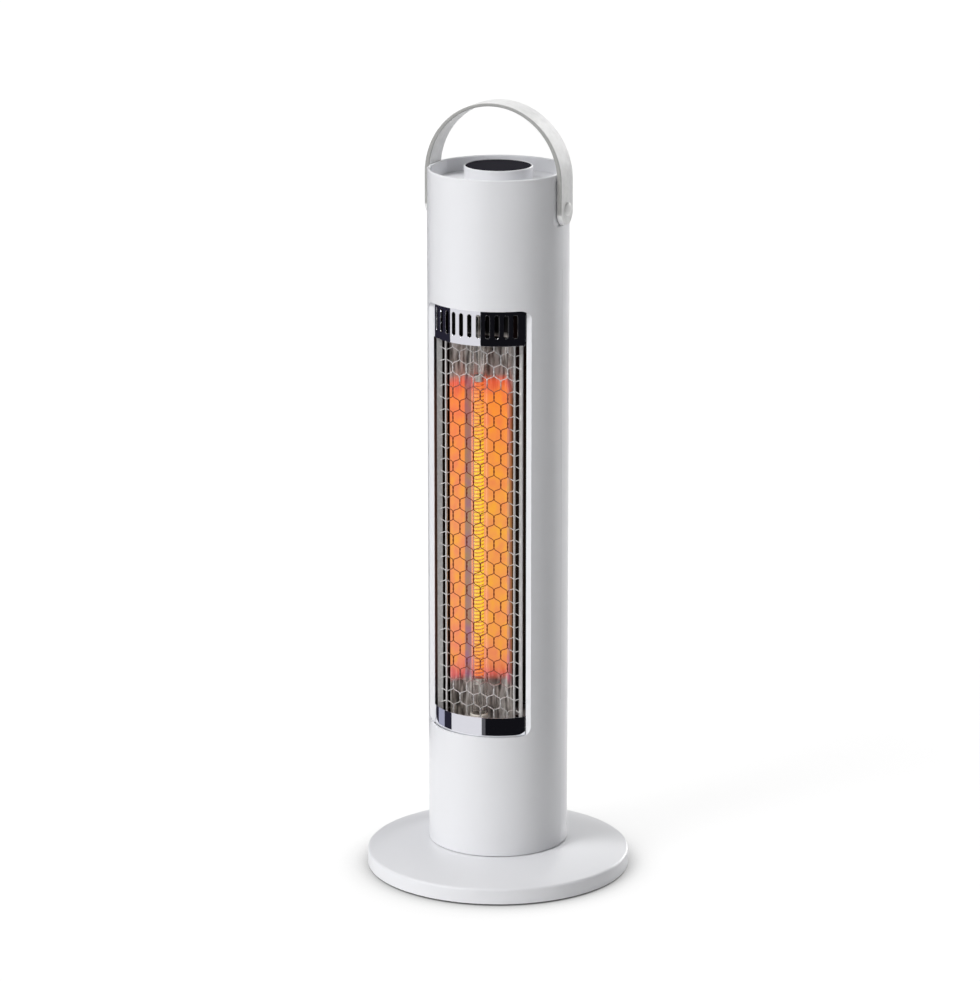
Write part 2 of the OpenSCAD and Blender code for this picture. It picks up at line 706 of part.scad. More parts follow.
// Moulded housing: the tube with its window, ledges, bosses and rear opening
module column_housing() {
    color(WHITE) difference() {
        union() {
            translate([0, 0, column_z]) ring(column_ir, column_r, crown_z - column_z);
            for (z = [fan_ledge_z, lower_ledge_z, upper_ledge_z]) ledge(z);
            rear_lips();
            for (i = [0 : 3]) at_angle(45 + 90 * i) translate([0, 0, foot_top_z]) {
                translate([0, -foot_boss_ring_r, 0]) cylinder(r = foot_boss_r, h = foot_boss_h);
                spoke(4, foot_boss_ring_r, column_ir + 0.5, foot_boss_h);
            }
            intersection() {
                for (s = [-1, 1]) translate([s * (window_w / 2 + 3) - 3, -column_r, sill_z])
                    cube([6, column_r - face_f + rib_depth, window_h]);
                cylinder(r = column_r - 0.6, h = top_z);
            }
        }
        translate([0, 0, sill_z + window_h / 2]) {
            front_prism(column_r + 5) polygon(rounded_outline(window_w, window_h, window_r));
            translate([0, -face_f, 0]) front_prism(column_r)
                polygon(rounded_outline(window_face_w, window_h, window_face_r));
        }
        louvres(180, column_z + 22, intake_rows);
        rear_ring(lip_r, column_r + 5, seam_y, rear_z, rear_top_z);
        for (i = [0 : 3]) at_angle(45 + 90 * i) translate([0, -foot_boss_ring_r, foot_top_z - 1])
            cylinder(r = foot_screw_r + screw_gap, h = 13);
        for (a = bracket_screw_a, z = [lower_ledge_z, upper_ledge_z]) at_angle(a)
            translate([0, -ledge_screw_ring_r, z - 1])
                cylinder(r = small_screw_r + screw_gap, h = ledge_t + 2);
        for (a = fan_screw_a) at_angle(a) translate([0, -ledge_screw_ring_r, fan_ledge_z - 1])
            cylinder(r = small_screw_r + screw_gap, h = ledge_t + 2);
        for (a = cover_screw_a, z = cover_screw_z) at_angle(a) translate([0, -column_r, z])
            rotate([-90, 0, 0]) cylinder(r = cover_screw_r + screw_gap, h = 9.2);
    }
}

// Crown welded on the housing: flats for the handle, pivot bosses, the well's wall and its ledge
module column_crown() {
    color(WHITE) difference() {
        union() {
            rotate_extrude() polygon([[lip_r - crown_lip_t, crown_z - 6], [lip_r, crown_z - 6],
                [lip_r, crown_z], [column_r, crown_z], [column_r, top_z - edge_c],
                [column_r - edge_c, top_z], [column_ir + edge_c, top_z], [column_ir, top_z - edge_c],
                [column_ir, crown_z + 4], [lip_r - crown_lip_t, crown_z + 2]]);
            ledge(tray_ledge_z);
            intersection() {
                for (s = [-1, 1]) translate([s * (pad_x + 5) - 5, -pad_w / 2, crown_z])
                    cube([10, pad_w, top_z - crown_z]);
                cylinder(r = column_r - 1, h = top_z);
            }
            for (s = [-1, 1]) translate([s * (pad_x + 1), 0, pivot_z]) rotate([0, -s * 90, 0])
                cylinder(r = pivot_boss_r, h = pivot_boss_l + 1);
        }
        for (s = [-1, 1]) {
            translate([s * (flat_x + 5) - 5, 0, pivot_z]) rotate([90, 0, 90]) linear_extrude(10)
                translate([0, (flat_top - flat_bottom) / 2])
                    polygon(rounded_outline(flat_w, flat_top + flat_bottom, flat_corner_r));
            translate([s * (pad_x - pivot_boss_l - 1), 0, pivot_z]) rotate([0, s * 90, 0])
                cylinder(r = rivet_pin_r + screw_gap, h = column_r);
        }
        for (i = [0 : 3]) at_angle(45 + 90 * i) translate([0, -ledge_screw_ring_r, tray_ledge_z - 1])
            cylinder(r = small_screw_r + 0.2, h = ledge_t + 2);
    }
}

// Curved rear cover with air slots and recessed screw holes
module rear_cover() {
    color(WHITE) difference() {
        intersection() {
            translate([0, 0, rear_z + seat_gap]) ring(column_ir, column_r, rear_h - 2 * seat_gap);
            translate([-column_r, seam_y + seat_gap, rear_z]) cube([column_d, column_d, rear_h]);
        }
        louvres(180, rear_z + 28, rear_rows);
        louvres(180, rear_top_z - 28 - (rear_rows - 1) * louvre_pitch, rear_rows);
        for (a = cover_screw_a, z = cover_screw_z) at_angle(a) translate([0, -column_r, z])
            rotate([-90, 0, 0]) {
                translate([0, 0, -1]) cylinder(r = cover_screw_r + 0.3, h = column_wall + 3);
                translate([0, 0, -1]) cylinder(r = cover_head_r + 0.3, h = 1 + cover_head_h + 0.2);
            }
    }
}

// Screws of the rear cover
module rear_cover_screws() {
    color(STEEL) for (a = cover_screw_a, z = cover_screw_z) at_angle(a)
        translate([0, -column_r + cover_head_h + 0.2, z]) rotate([-90, 0, 0])
            screw_up(cover_head_r, cover_head_h, cover_screw_r, 7);
}

// Outline that both end brackets share: a disc with air openings round the reflector
module bracket_outline() {
    difference() {
        circle(r = column_ir - 0.6);
        intersection() {
            circle(r = liner_r - sheet_t - 3);
            translate([-column_r, 3]) square([column_d, column_r]);
        }
        for (s = [-1, 1]) {
            translate([s * (reflector_w / 2 + 7.5) - 4, -bypass_f]) square([8, bypass_f - 2]);
            translate([s * (lip_r - lip_t + 4.1) - 5, seam_y - 6.3]) square([10, 13.6]);
        }
        translate([lamp_x, -lamp_f]) circle(r = lead_r + 1.2);
        for (a = bracket_screw_a) at_angle(a) translate([0, -ledge_screw_ring_r])
            circle(r = small_screw_r + 0.2);
    }
}

module lower_bracket() {
    color(STEEL) translate([0, 0, sill_z - bracket_t]) linear_extrude(bracket_t) difference() {
        bracket_outline();
        for (x = rod_x) translate([x, -guard_f]) circle(r = rod_r + 0.1);
    }
}

module upper_bracket() {
    color(STEEL) translate([0, 0, head_z]) linear_extrude(bracket_t) bracket_outline();
}

// Screws that hold the two brackets to their ledges
module bracket_screws() {
    color(STEEL) for (a = bracket_screw_a) at_angle(a) {
        translate([0, -ledge_screw_ring_r, sill_z]) mirror([0, 0, 1])
            screw_up(2, 1.2, small_screw_r, bracket_t + ledge_t);
        translate([0, -ledge_screw_ring_r, head_z]) screw_up(2, 1.2, small_screw_r, bracket_t + ledge_t);
    }
}

// Black heat liner round the back of the lamp space
module heat_liner() {
    a = liner_a;
    color(BLACK) translate([0, 0, sill_z]) linear_extrude(window_h) difference() {
        circle(r = liner_r);
        circle(r = liner_r - sheet_t);
        polygon([[0, 0], for (k = [-1 : 0.5 : 1]) 2 * liner_r * [sin(a * k), -cos(a * k)]]);
    }
}

// Folded reflector behind the lamp
module reflector() {
    front = concat(reflector_half(lamp_x), reversed([for (p = reflector_half(-lamp_x)) [-p[0], p[1]]]));
    back = [for (i = [0 : len(front) - 1]) mitre(front, i, sheet_t)];
    color(FOIL) translate([0, -reflector_f, sill_z]) linear_extrude(window_h)
        mirror([0, 1, 0]) polygon(concat(front, reversed(back)));
}

// Quartz tube of the lamp
module quartz_tube() {
    color(QUARTZ) translate([lamp_x, -lamp_f, lamp_z0]) ring(tube_ir, tube_r, lamp_z1 - lamp_z0);
}

// Ceramic caps in which the tube's two ends sit
module lamp_caps() {
    module cap() {
        rotate_extrude() polygon([[lead_r + 0.1, 0], [cap_d / 2, 0], [cap_d / 2, cap_l - edge_c],
            [cap_d / 2 - edge_c, cap_l], [tube_r + bore_gap, cap_l], [tube_r + bore_gap, cap_floor],
            [lead_r + 0.1, cap_floor]]);
    }
    color(CERAMIC) translate([lamp_x, -lamp_f, 0]) {
        translate([0, 0, sill_z]) cap();
        translate([0, 0, head_z]) mirror([0, 0, 1]) cap();
    }
}

// Leads with the clamps that hold the spiral's ends
module lamp_leads() {
    module lead(l) {
        cylinder(r = spiral_d / 2 - 0.2, h = clamp_l);
        cylinder(r = lead_r, h = l);
    }
    color(CHROME) translate([lamp_x, -lamp_f, 0]) {
        translate([0, 0, glow_z]) mirror([0, 0, 1]) lead(glow_z - sill_z - 0.5);
        translate([0, 0, glow_z + glow_l]) lead(head_z - glow_z - glow_l - 0.5);
    }
}

// Glowing carbon spiral
module carbon_filament() {
    n = len(spiral_path);
    m = spiral_sides;
    color(GLOW) translate([lamp_x, -lamp_f, glow_z]) polyhedron(
        points = [for (r = spiral_path) each r],
        faces = concat(
            [[for (k = [m - 1 : -1 : 0]) k]],
            [for (i = [0 : n - 2], k = [0 : m - 1]) let (j = (k + 1) % m)
                each [[i * m + k, i * m + j, (i + 1) * m + j],
                    [i * m + k, (i + 1) * m + j, (i + 1) * m + k]]],
            [[for (k = [0 : m - 1]) (n - 1) * m + k]]));
}

// Hexagonal netting with its four upright rods
module guard_grille() {
    t = strand_t / 2;
    slope = sqrt(cell_rise * cell_rise + cell_w * cell_w / 4) / (cell_w / 2);
    top_y = cell_side / 2 + cell_rise - t * slope;
    side_x = cell_w / 2 - t;
    side_y = top_y - side_x * cell_rise / (cell_w / 2);
    net_h = net_rows * row_h + cell_rise + strand_t;
    inner_w = guard_half_w - t;
    color(WIRE) {
        translate([0, -guard_f + t, net_bottom]) rotate([90, 0, 0]) linear_extrude(strand_t) difference() {
            translate([-guard_half_w, 0]) square([2 * guard_half_w, net_h]);
            for (j = [0 : net_rows - 1], i = [0 : cell_cols - (j % 2 == 0 ? 0 : 1)]) {
                x = (i - cell_cols / 2 + (j % 2 == 0 ? 0 : 0.5)) * cell_w;
                y = strand_t / 2 + cell_rise / 2 + row_h * (j + 0.5);
                x0 = max(-side_x, -inner_w - x);
                x1 = min(side_x, inner_w - x);
                xs = x0 < 0 && x1 > 0 ? [x0, 0, x1] : [x0, x1];
                translate([x, y]) polygon(concat(
                    [for (v = xs) [v, top_y - abs(v) * 2 * cell_rise / cell_w]],
                    [for (v = reversed(xs)) [v, abs(v) * 2 * cell_rise / cell_w - top_y]]));
            }
        }
        for (x = rod_x) translate([x, -guard_f, sill_z - bracket_t + 0.3])
            cylinder(r = rod_r, h = flange_z + flange_t - 0.3 - sill_z + bracket_t);
    }
}

// Curved sheet between two heights at the bands' radius
module band_sheet(z0, z1) {
    intersection() {
        translate([0, 0, z0]) ring(band_ir, band_r, z1 - z0);
        translate([-band_half_w, -column_r, z0])
            cube([2 * band_half_w, column_r - face_f + rib_depth + 8, z1 - z0]);
    }
}

// Slotted bright band at the window's head, with the flange that takes the rods' upper ends
module head_band() {
    color(CHROME) difference() {
        union() {
            band_sheet(head_band_z, head_z);
            intersection() {
                translate([0, 0, flange_z]) cylinder(r = band_ir + 0.3, h = flange_t);
                translate([-band_half_w, -column_r, flange_z])
                    cube([2 * band_half_w, column_r - guard_f + rod_r + 0.6, flange_t]);
            }
        }
        for (i = [0 : slot_count - 1]) at_angle((i - (slot_count - 1) / 2) * slot_pitch)
            translate([0, -band_ir + 2, head_z - slot_margin - slot_l / 2]) front_prism(band_t + 4)
                polygon(slot_outline(slot_w, slot_l));
        for (x = rod_x) translate([x, -guard_f, flange_z - 1])
            cylinder(r = rod_r + 0.1, h = flange_t + 2);
    }
}

// Plain bright band at the sill
module sill_band() {
    color(CHROME) band_sheet(sill_z, sill_band_top);
}

// Ring, spokes and motor plate of the fan
module fan_frame() {
    tip_r = fan_r + fan_tip_gap;
    color(BLACK) translate([0, 0, fan_floor_z]) difference() {
        union() {
            linear_extrude(fan_floor_t) {
                difference() {
                    circle(r = column_ir - 0.6);
                    circle(r = tip_r - 0.5);
                }
                for (i = [0 : 3]) rotate(45 + 90 * i) translate([-2.5, fan_shaft_r + 4])
                    square([5, tip_r - fan_shaft_r - 3]);
                circle(r = fan_motor_d / 2 + 1);
            }
            translate([0, 0, 1]) ring(tip_r, tip_r + 2, fan_ring_h - 1);
        }
        translate([0, 0, -1]) cylinder(r = fan_shaft_r + 3, h = fan_floor_t + 2);
        for (a = fan_screw_a) at_angle(a) translate([0, -ledge_screw_ring_r, -1])
            cylinder(r = small_screw_r + 0.2, h = fan_floor_t + 2);
        for (s = [-1, 1]) translate([s * fan_motor_screw_x, 0, -1])
            cylinder(r = small_screw_r + 0.2, h = fan_floor_t + 2);
    }
}

// Motor below the fan, with the bearing bore for its shaft
module fan_motor() {
    color(STEEL) translate([0, 0, fan_floor_z]) difference() {
        mirror([0, 0, 1]) rotate_extrude() polygon([[fan_shaft_r + bore_gap, 0],
            [fan_motor_d / 2, 0], [fan_motor_d / 2, fan_motor_h - 1.5],
            [fan_motor_d / 2 - 1.5, fan_motor_h], [fan_shaft_r + bore_gap, fan_motor_h]]);
        for (s = [-1, 1]) translate([s * fan_motor_screw_x, 0, -6])
            cylinder(r = small_screw_r + screw_gap, h = 7);
    }
}

// Screws of the fan's frame and of its motor
module fan_screws() {
    color(STEEL) translate([0, 0, fan_floor_z + fan_floor_t]) mirror([0, 0, 1]) {
        for (a = fan_screw_a) at_angle(a) translate([0, -ledge_screw_ring_r, 0])
            screw_up(2, 1.2, small_screw_r, fan_floor_t + ledge_t);
        for (s = [-1, 1]) translate([s * fan_motor_screw_x, 0, 0])
            screw_up(2, 1.2, small_screw_r, fan_floor_t + 4);
    }
}

// Hub and twisted blades
module fan_rotor() {
    color(DARK) translate([0, 0, fan_z]) union() {
        rotate_extrude() polygon([[fan_shaft_r + 0.03, 0], [4.5, 0], [4.5, blade_h - 4],
            [fan_hub_r - 2, blade_h - 4], [fan_hub_r - 2, 0], [fan_hub_r, 0],
            [fan_hub_r, blade_h - 1.5], [fan_hub_r - 1.5, blade_h], [0, blade_h],
            [0, blade_h - 3], [fan_shaft_r + 0.03, blade_h - 3]]);
        for (i = [0 : blade_count - 1]) at_angle(360 * i / blade_count)
            translate([0, 0, 1]) linear_extrude(height = blade_h - 2, twist = blade_twist,
                slices = 6, segments = 16)
                translate([-0.9, -fan_r]) square([1.8, fan_r - fan_hub_r + 1]);
    }
}

module fan_shaft() {
    color(STEEL) translate([0, 0, fan_floor_z - fan_motor_h + 1])
        cylinder(r = fan_shaft_r, h = fan_z + blade_h - 3.3 - fan_floor_z + fan_motor_h - 1);
}

// Bimetal thermostat with its two tabs, on the upper bracket
module thermal_cutout() {
    color(DARK) translate([22, -15, head_z + bracket_t]) union() {
        cylinder(r = 8, h = 5);
        translate([0, 0, 4]) cylinder(r = 5.5, h = 4);
        for (s = [-1, 1]) translate([s * 4 - 1.6, -0.4, 7]) cube([3.2, 0.8, 8]);
    }
}

// Upright mains board with its relays, choke and connector
module power_board() {
    color(BOARD) translate([0, -board_f, foot_top_z]) union() {
        translate([-board_w / 2, -board_t / 2, 0]) cube([board_w, board_t, board_h]);
        translate([-26, -board_t / 2 - 15, 8]) cube([19, 15.5, 15]);
        translate([-26, -board_t / 2 - 15, 28]) cube([19, 15.5, 15]);
        translate([0, -board_t / 2 + 0.5, 15]) rotate([90, 0, 0]) cylinder(r = 6, h = 14);
        translate([-3, -board_t / 2 - 10, 27]) cube([14, 10.5, 14]);
        translate([16, -board_t / 2 - 8, 10]) cube([8, 8.5, 30]);
    }
}

// Sealed ball switch that cuts the current when the heater tips
module tilt_switch() {
    color(DARK) translate([-46, 6, foot_top_z]) difference() {
        cube([14, 12, 18]);
        translate([-1, 4, 14]) cube([16, 4, 5]);
    }
}

// Small geared motor that turns the column, shaft down
module swivel_motor() {
    h = swivel_motor_h;
    color(STEEL) translate([0, gear_axis, foot_top_z]) difference() {
        union() {
            translate([0, motor_offset, 0]) cylinder(r = swivel_motor_d / 2, h = h);
            translate([-motor_ear - 3.5, motor_offset - 3.5, 0]) cube([2 * motor_ear + 7, 7, 1]);
            translate([0, 0, -1.5]) cylinder(r = motor_boss_r, h = 3);
            translate([-7.5, motor_offset + 6, 1]) cube([15, swivel_motor_d / 2 - 3.5, h - 2]);
        }
        translate([0, 0, -2]) cylinder(r = motor_shaft_r + bore_gap, h = 9);
        for (s = [-1, 1]) translate([s * motor_ear, motor_offset, -1])
            cylinder(r = motor_screw_r + 0.2, h = 4);
    }
}

module motor_screws() {
    color(STEEL) for (s = [-1, 1])
        translate([s * motor_ear, gear_axis + motor_offset, foot_top_z + 1]) mirror([0, 0, 1])
            screw_up(2.6, 1.4, motor_screw_r, 3.4);
}

// Pinion with its shaft, in mesh with the fixed gear
module swivel_pinion() {
    color(POM) translate([0, gear_axis, 0]) union() {
        translate([0, 0, pinion_z]) linear_extrude(pinion_h)
            polygon(gear_outline(pinion_teeth, tooth_module, 270 + 180 / pinion_teeth));
        translate([0, 0, pinion_z + pinion_h - 1]) cylinder(r = motor_shaft_r,
            h = foot_top_z + 6.5 - pinion_z - pinion_h + 1);
    }
}

// Tray that closes the column's top, the floor of its well, with a groove for the pedestal
module top_tray() {
    color(WHITE) difference() {
        union() {
            intersection() {
                translate([0, 0, tray_z - ledge_t]) cylinder(r = column_ir - 0.3, h = ledge_t);
                translate([-pad_x + seat_gap, -column_r, tray_z - ledge_t])
                    cube([2 * (pad_x - seat_gap), column_d, ledge_t]);
            }
            for (i = [0 : 2]) at_angle(60 + 120 * i) translate([0, -display_r + 4, tray_z - 1])
                cylinder(r = 2.5, h = display_z - tray_z + 1);
        }
        translate([0, 0, tray_z - 1]) ring(pedestal_ir - screw_gap, pedestal_r + screw_gap, 2);
        for (i = [0 : 3]) at_angle(45 + 90 * i) translate([0, -ledge_screw_ring_r, tray_z - ledge_t - 1])
            cylinder(r = small_screw_r + screw_gap, h = ledge_t + 0.2);
        translate([0, 8, tray_z - ledge_t - 1]) cylinder(r = 6, h = ledge_t + 2);
    }
}

// Round pedestal that stands in the tray's groove and frames the touch panel
module panel_pedestal() {
    wall_r = panel_r + 0.1;
    h = pedestal_z - tray_z + 1;
    color(WHITE) translate([0, 0, tray_z - 1]) rotate_extrude() polygon([[pedestal_ir, 0],
        [pedestal_r, 0], [pedestal_r, h - 0.6], [pedestal_r - 0.6, h], [wall_r, h],
        [wall_r, panel_z - tray_z + 1], [pedestal_ir, panel_z - tray_z + 1]]);
}

// Screws from below through the ledge into the tray
module tray_screws() {
    color(STEEL) for (i = [0 : 3]) at_angle(45 + 90 * i)
        translate([0, -ledge_screw_ring_r, tray_ledge_z]) screw_up(2, 1.2, small_screw_r, ledge_t + 1.6);
}

// Black touch panel in the pedestal
module control_panel() {
    color(BLACK) translate([0, 0, panel_z]) rotate_extrude() polygon([[0, 0], [panel_r, 0],
        [panel_r, panel_t - 0.4], [panel_r - 0.4, panel_t], [0, panel_t]]);
}

// Round display board on its posts under the panel
module display_board() {
    color(BOARD) translate([0, 0, display_z]) union() {
        cylinder(r = display_r, h = board_t);
        translate([-13, -6, board_t - 0.1]) cube([26, 12, panel_z - 0.4 - display_z - board_t + 0.1]);
        for (a = [-120, -60, 60, 120]) at_angle(a) translate([0, -18, board_t - 0.1])
            cylinder(r = 3, h = panel_z - 0.4 - display_z - board_t + 0.1);
    }
}

// Carrying handle: a bent strap, thinner at its top, with round ends and two pivot holes
module handle() {
    c = edge_c;
    w = handle_w / 2;
    outer = [[strap_out_x - c, w], [strap_out_x, w - c], [strap_out_x, c - w], [strap_out_x - c, -w]];
    inner = [[strap_x + c + 1, w + 1], [strap_x, w - c], [strap_x, c - w], [strap_x + c + 1, -w - 1]];
    color(STRAP) difference() {
        union() {
            bow(arch_z, outer);
            intersection() {
                translate([0, 0, crown_z]) linear_extrude(arch_z - crown_z)
                    polygon(concat(outer, reversed([for (p = outer) [-p[0], p[1]]])));
                translate([-strap_out_x - 1, 0, pivot_z]) rotate([90, 0, 90])
                    linear_extrude(2 * strap_out_x + 2) polygon(tongue(handle_w, arch_rise, leg_end));
            }
        }
        bow(arch_z + handle_thin, inner);
        translate([0, 0, crown_z - 1]) linear_extrude(arch_z + handle_thin - crown_z + 1)
            polygon(concat(inner, reversed([for (p = inner) [-p[0], p[1]]])));
        translate([-column_r - 10, 0, pivot_z]) rotate([0, 90, 0])
            cylinder(r = rivet_r + bore_gap, h = column_d + 20);
    }
}

// Shouldered rivets: domed head, shoulder in the strap, pin in the column's boss
module handle_rivets() {
    head_x = strap_out_x + 0.1;
    color(STRAP) for (s = [-1, 1]) translate([0, 0, pivot_z]) rotate([0, s * 90, 0])
        rotate_extrude() polygon(concat([[0, pad_x - pivot_boss_l], [rivet_pin_r, pad_x - pivot_boss_l],
            [rivet_pin_r, flat_x], [rivet_r, flat_x], [rivet_r, head_x], [rivet_head_d / 2, head_x],
            [rivet_head_d / 2, head_x + 0.7]],
            [for (i = [1 : 6]) [rivet_head_d / 2 * cos(15 * i),
                head_x + 0.7 + (rivet_head_h - 0.7) * sin(15 * i)]]));
}

// Washers between the strap and the column's flats
module handle_washers() {
    color(POM) for (s = [-1, 1]) translate([s * flat_x, 0, pivot_z]) rotate([0, s * 90, 0])
        ring(rivet_r + bore_gap, rivet_r + 5, washer_t);
}

base_cover();
base_plate();
rubber_feet();
base_screws();
cord_grommet();
swivel_post();
post_screws();
swivel_gear();
slide_washer();
retaining_ring();
column_foot();
foot_screws();
column_housing();
column_crown();
rear_cover();
rear_cover_screws();
lower_bracket();
upper_bracket();
bracket_screws();
heat_liner();
reflector();
quartz_tube();
lamp_caps();
lamp_leads();
carbon_filament();
guard_grille();
head_band();
sill_band();
fan_frame();
fan_motor();
fan_screws();
thermal_cutout();
power_board();
tilt_switch();
swivel_motor();
motor_screws();
top_tray();
tray_screws();
panel_pedestal();
control_panel();
display_board();
handle_rivets();
handle_washers();
fan_rotor();
fan_shaft();
swivel_pinion();
handle();
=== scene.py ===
"""Tower fan heater with a glowing carbon lamp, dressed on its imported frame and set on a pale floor.

Metres. +Z is up, the window looks towards -Y and the feet stand on z = 0.
"""

import math

import bmesh
import bpy
import numpy as np
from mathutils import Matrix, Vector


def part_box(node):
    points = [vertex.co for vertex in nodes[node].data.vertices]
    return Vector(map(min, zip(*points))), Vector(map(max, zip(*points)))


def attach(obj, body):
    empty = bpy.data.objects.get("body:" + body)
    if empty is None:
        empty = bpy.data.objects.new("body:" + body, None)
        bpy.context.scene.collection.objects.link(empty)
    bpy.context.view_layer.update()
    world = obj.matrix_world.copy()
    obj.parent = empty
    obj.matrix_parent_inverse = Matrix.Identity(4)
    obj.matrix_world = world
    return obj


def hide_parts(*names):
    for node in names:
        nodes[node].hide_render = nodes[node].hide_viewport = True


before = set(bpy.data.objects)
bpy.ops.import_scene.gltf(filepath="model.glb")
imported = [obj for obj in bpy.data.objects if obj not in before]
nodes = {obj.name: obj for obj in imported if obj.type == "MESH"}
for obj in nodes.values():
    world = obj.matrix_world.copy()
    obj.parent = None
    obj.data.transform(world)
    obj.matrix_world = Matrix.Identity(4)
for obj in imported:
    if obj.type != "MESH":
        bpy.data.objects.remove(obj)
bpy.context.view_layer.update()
scene = bpy.context.scene

# Camera
# A long lens from four metres, a little above the heater and to the right of its window, as the picture
# was taken. The sidestep and the height put the heater where it stands in the picture.
CAMERA_TURN = math.radians(25.5)
CAMERA_PITCH = math.radians(14.898)
CAMERA_DISTANCE = 4.0052
CAMERA_HEIGHT = 1.4343
CAMERA_SIDESTEP = -0.0078
PICTURE_SIDE = 981
FOCAL_PIXELS = 4408.5
SENSOR_WIDTH = 36
NEAREST_SEEN = 0.1
FARTHEST_SEEN = 200

camera = bpy.data.objects.new("camera", bpy.data.cameras.new("camera"))
scene.collection.objects.link(camera)
scene.camera = camera
camera.data.sensor_width = SENSOR_WIDTH
camera.data.lens = FOCAL_PIXELS / PICTURE_SIDE * SENSOR_WIDTH
camera.data.clip_start = NEAREST_SEEN
camera.data.clip_end = FARTHEST_SEEN
camera.location = (
    CAMERA_SIDESTEP * math.cos(CAMERA_TURN) + CAMERA_DISTANCE * math.sin(CAMERA_TURN),
    CAMERA_SIDESTEP * math.sin(CAMERA_TURN) - CAMERA_DISTANCE * math.cos(CAMERA_TURN),
    CAMERA_HEIGHT,
)
camera.rotation_euler = (math.pi / 2 - CAMERA_PITCH, 0, CAMERA_TURN)
scene.view_settings.view_transform = "Standard"

# Studio
# A white room with broad soft lamps, most of them to the left, with one above and two behind. What the
# camera, a mirror or glass sees of the room is white, and the floor it sees is lifted to white, with a
# painted contact shadow near the base.
AIR_LEVEL = 0.03
FLOOR_SIDE = 60.0
FLOOR_COLOR = (0.9, 0.9, 0.9, 1)
SEEN_FLOOR_COLOR = (0.15, 0.15, 0.15, 1)
FLOOR_LIFT = 0.91
CONTACT_REACH = 0.09
CONTACT_SAMPLES = 8
# Each lamp's level, its turn from the camera's side, its rise above the floor and its spread in degrees
LAMPS = {
    "left lamp": (1.98, -50, 45, 20),
    "left low lamp": (0.62, -40, 10, 50),
    "far left lamp": (0.26, -90, 40, 50),
    "back lamp": (1.76, 140, 10, 40),
    "back upper lamp": (0.34, 170, 40, 50),
    "overhead lamp": (0.27, 0, 90, 50),
}


def seen_directly(tree):
    """A socket that is 1 for rays of the camera, mirrors and glass, and 0 for light on surfaces."""
    path = tree.nodes.new("ShaderNodeLightPath")
    total = path.outputs["Is Camera Ray"]
    for name in ("Is Glossy Ray", "Is Transmission Ray"):
        larger = tree.nodes.new("ShaderNodeMath")
        larger.operation = "MAXIMUM"
        tree.links.new(total, larger.inputs[0])
        tree.links.new(path.outputs[name], larger.inputs[1])
        total = larger.outputs[0]
    return total


scene.world = bpy.data.worlds.new("room")
scene.world.use_nodes = True
tree = scene.world.node_tree
tree.nodes.clear()
air = tree.nodes.new("ShaderNodeBackground")
air.inputs["Strength"].default_value = AIR_LEVEL
wall = tree.nodes.new("ShaderNodeBackground")
choose = tree.nodes.new("ShaderNodeMixShader")
out = tree.nodes.new("ShaderNodeOutputWorld")
for node in (air, wall):
    node.inputs["Color"].default_value = (1, 1, 1, 1)
tree.links.new(seen_directly(tree), choose.inputs["Fac"])
tree.links.new(air.outputs[0], choose.inputs[1])
tree.links.new(wall.outputs[0], choose.inputs[2])
tree.links.new(choose.outputs[0], out.inputs["Surface"])

for name, (level, turn, rise, spread) in LAMPS.items():
    data = bpy.data.lights.new(name, "SUN")
    data.energy = level
    data.angle = math.radians(spread)
    lamp = bpy.data.objects.new(name, data)
    scene.collection.objects.link(lamp)
    lamp.rotation_euler = (math.radians(90 - rise), 0, CAMERA_TURN + math.radians(turn))

corner = FLOOR_SIDE / 2
floor_mesh = bpy.data.meshes.new("floor")
floor_mesh.from_pydata(
    [(-corner, -corner, 0), (corner, -corner, 0), (corner, corner, 0), (-corner, corner, 0)],
    [],
    [(0, 1, 2, 3)],
)
floor = bpy.data.objects.new("floor", floor_mesh)
scene.collection.objects.link(floor)
paper = bpy.data.materials.new("floor paper")
paper.use_nodes = True
tree = paper.node_tree
tree.nodes.clear()
matte = tree.nodes.new("ShaderNodeBsdfDiffuse")
matte.inputs["Color"].default_value = FLOOR_COLOR
seen_matte = tree.nodes.new("ShaderNodeBsdfDiffuse")
seen_matte.inputs["Color"].default_value = SEEN_FLOOR_COLOR
# Painted contact shadow: an occlusion node darkens the floor's white lift near the base
painted_contact_shadow = tree.nodes.new("ShaderNodeAmbientOcclusion")
painted_contact_shadow.inputs["Distance"].default_value = CONTACT_REACH
painted_contact_shadow.samples = CONTACT_SAMPLES
lift = tree.nodes.new("ShaderNodeEmission")
lift.inputs["Strength"].default_value = FLOOR_LIFT
tree.links.new(painted_contact_shadow.outputs["Color"], lift.inputs["Color"])
shown = tree.nodes.new("ShaderNodeMixShader")
both = tree.nodes.new("ShaderNodeAddShader")
out = tree.nodes.new("ShaderNodeOutputMaterial")
tree.links.new(seen_matte.outputs[0], both.inputs[0])
tree.links.new(lift.outputs[0], both.inputs[1])
tree.links.new(seen_directly(tree), shown.inputs["Fac"])
tree.links.new(matte.outputs[0], shown.inputs[1])
tree.links.new(both.outputs[0], shown.inputs[2])
tree.links.new(shown.outputs[0], out.inputs["Surface"])
floor_mesh.materials.append(paper)

# Mirror cards
# Dark and pale cards stand round the heater where only mirrors see them, in a lower and an upper tier.
# They give the bright bands their hard stripes.
CARD_DISTANCE = 0.42
CARD_STEP_DEGREES = 4
LOWER_TIER = (0.0, 0.25)
UPPER_TIER = (0.25, 0.80)
NAVY = (0.020, 0.019, 0.032)
BLUE_GREY = (0.38, 0.39, 0.50)
PALE = (0.74, 0.74, 0.78)
MID_GREY = (0.10, 0.10, 0.11)
BLACK = (0.006, 0.006, 0.008)
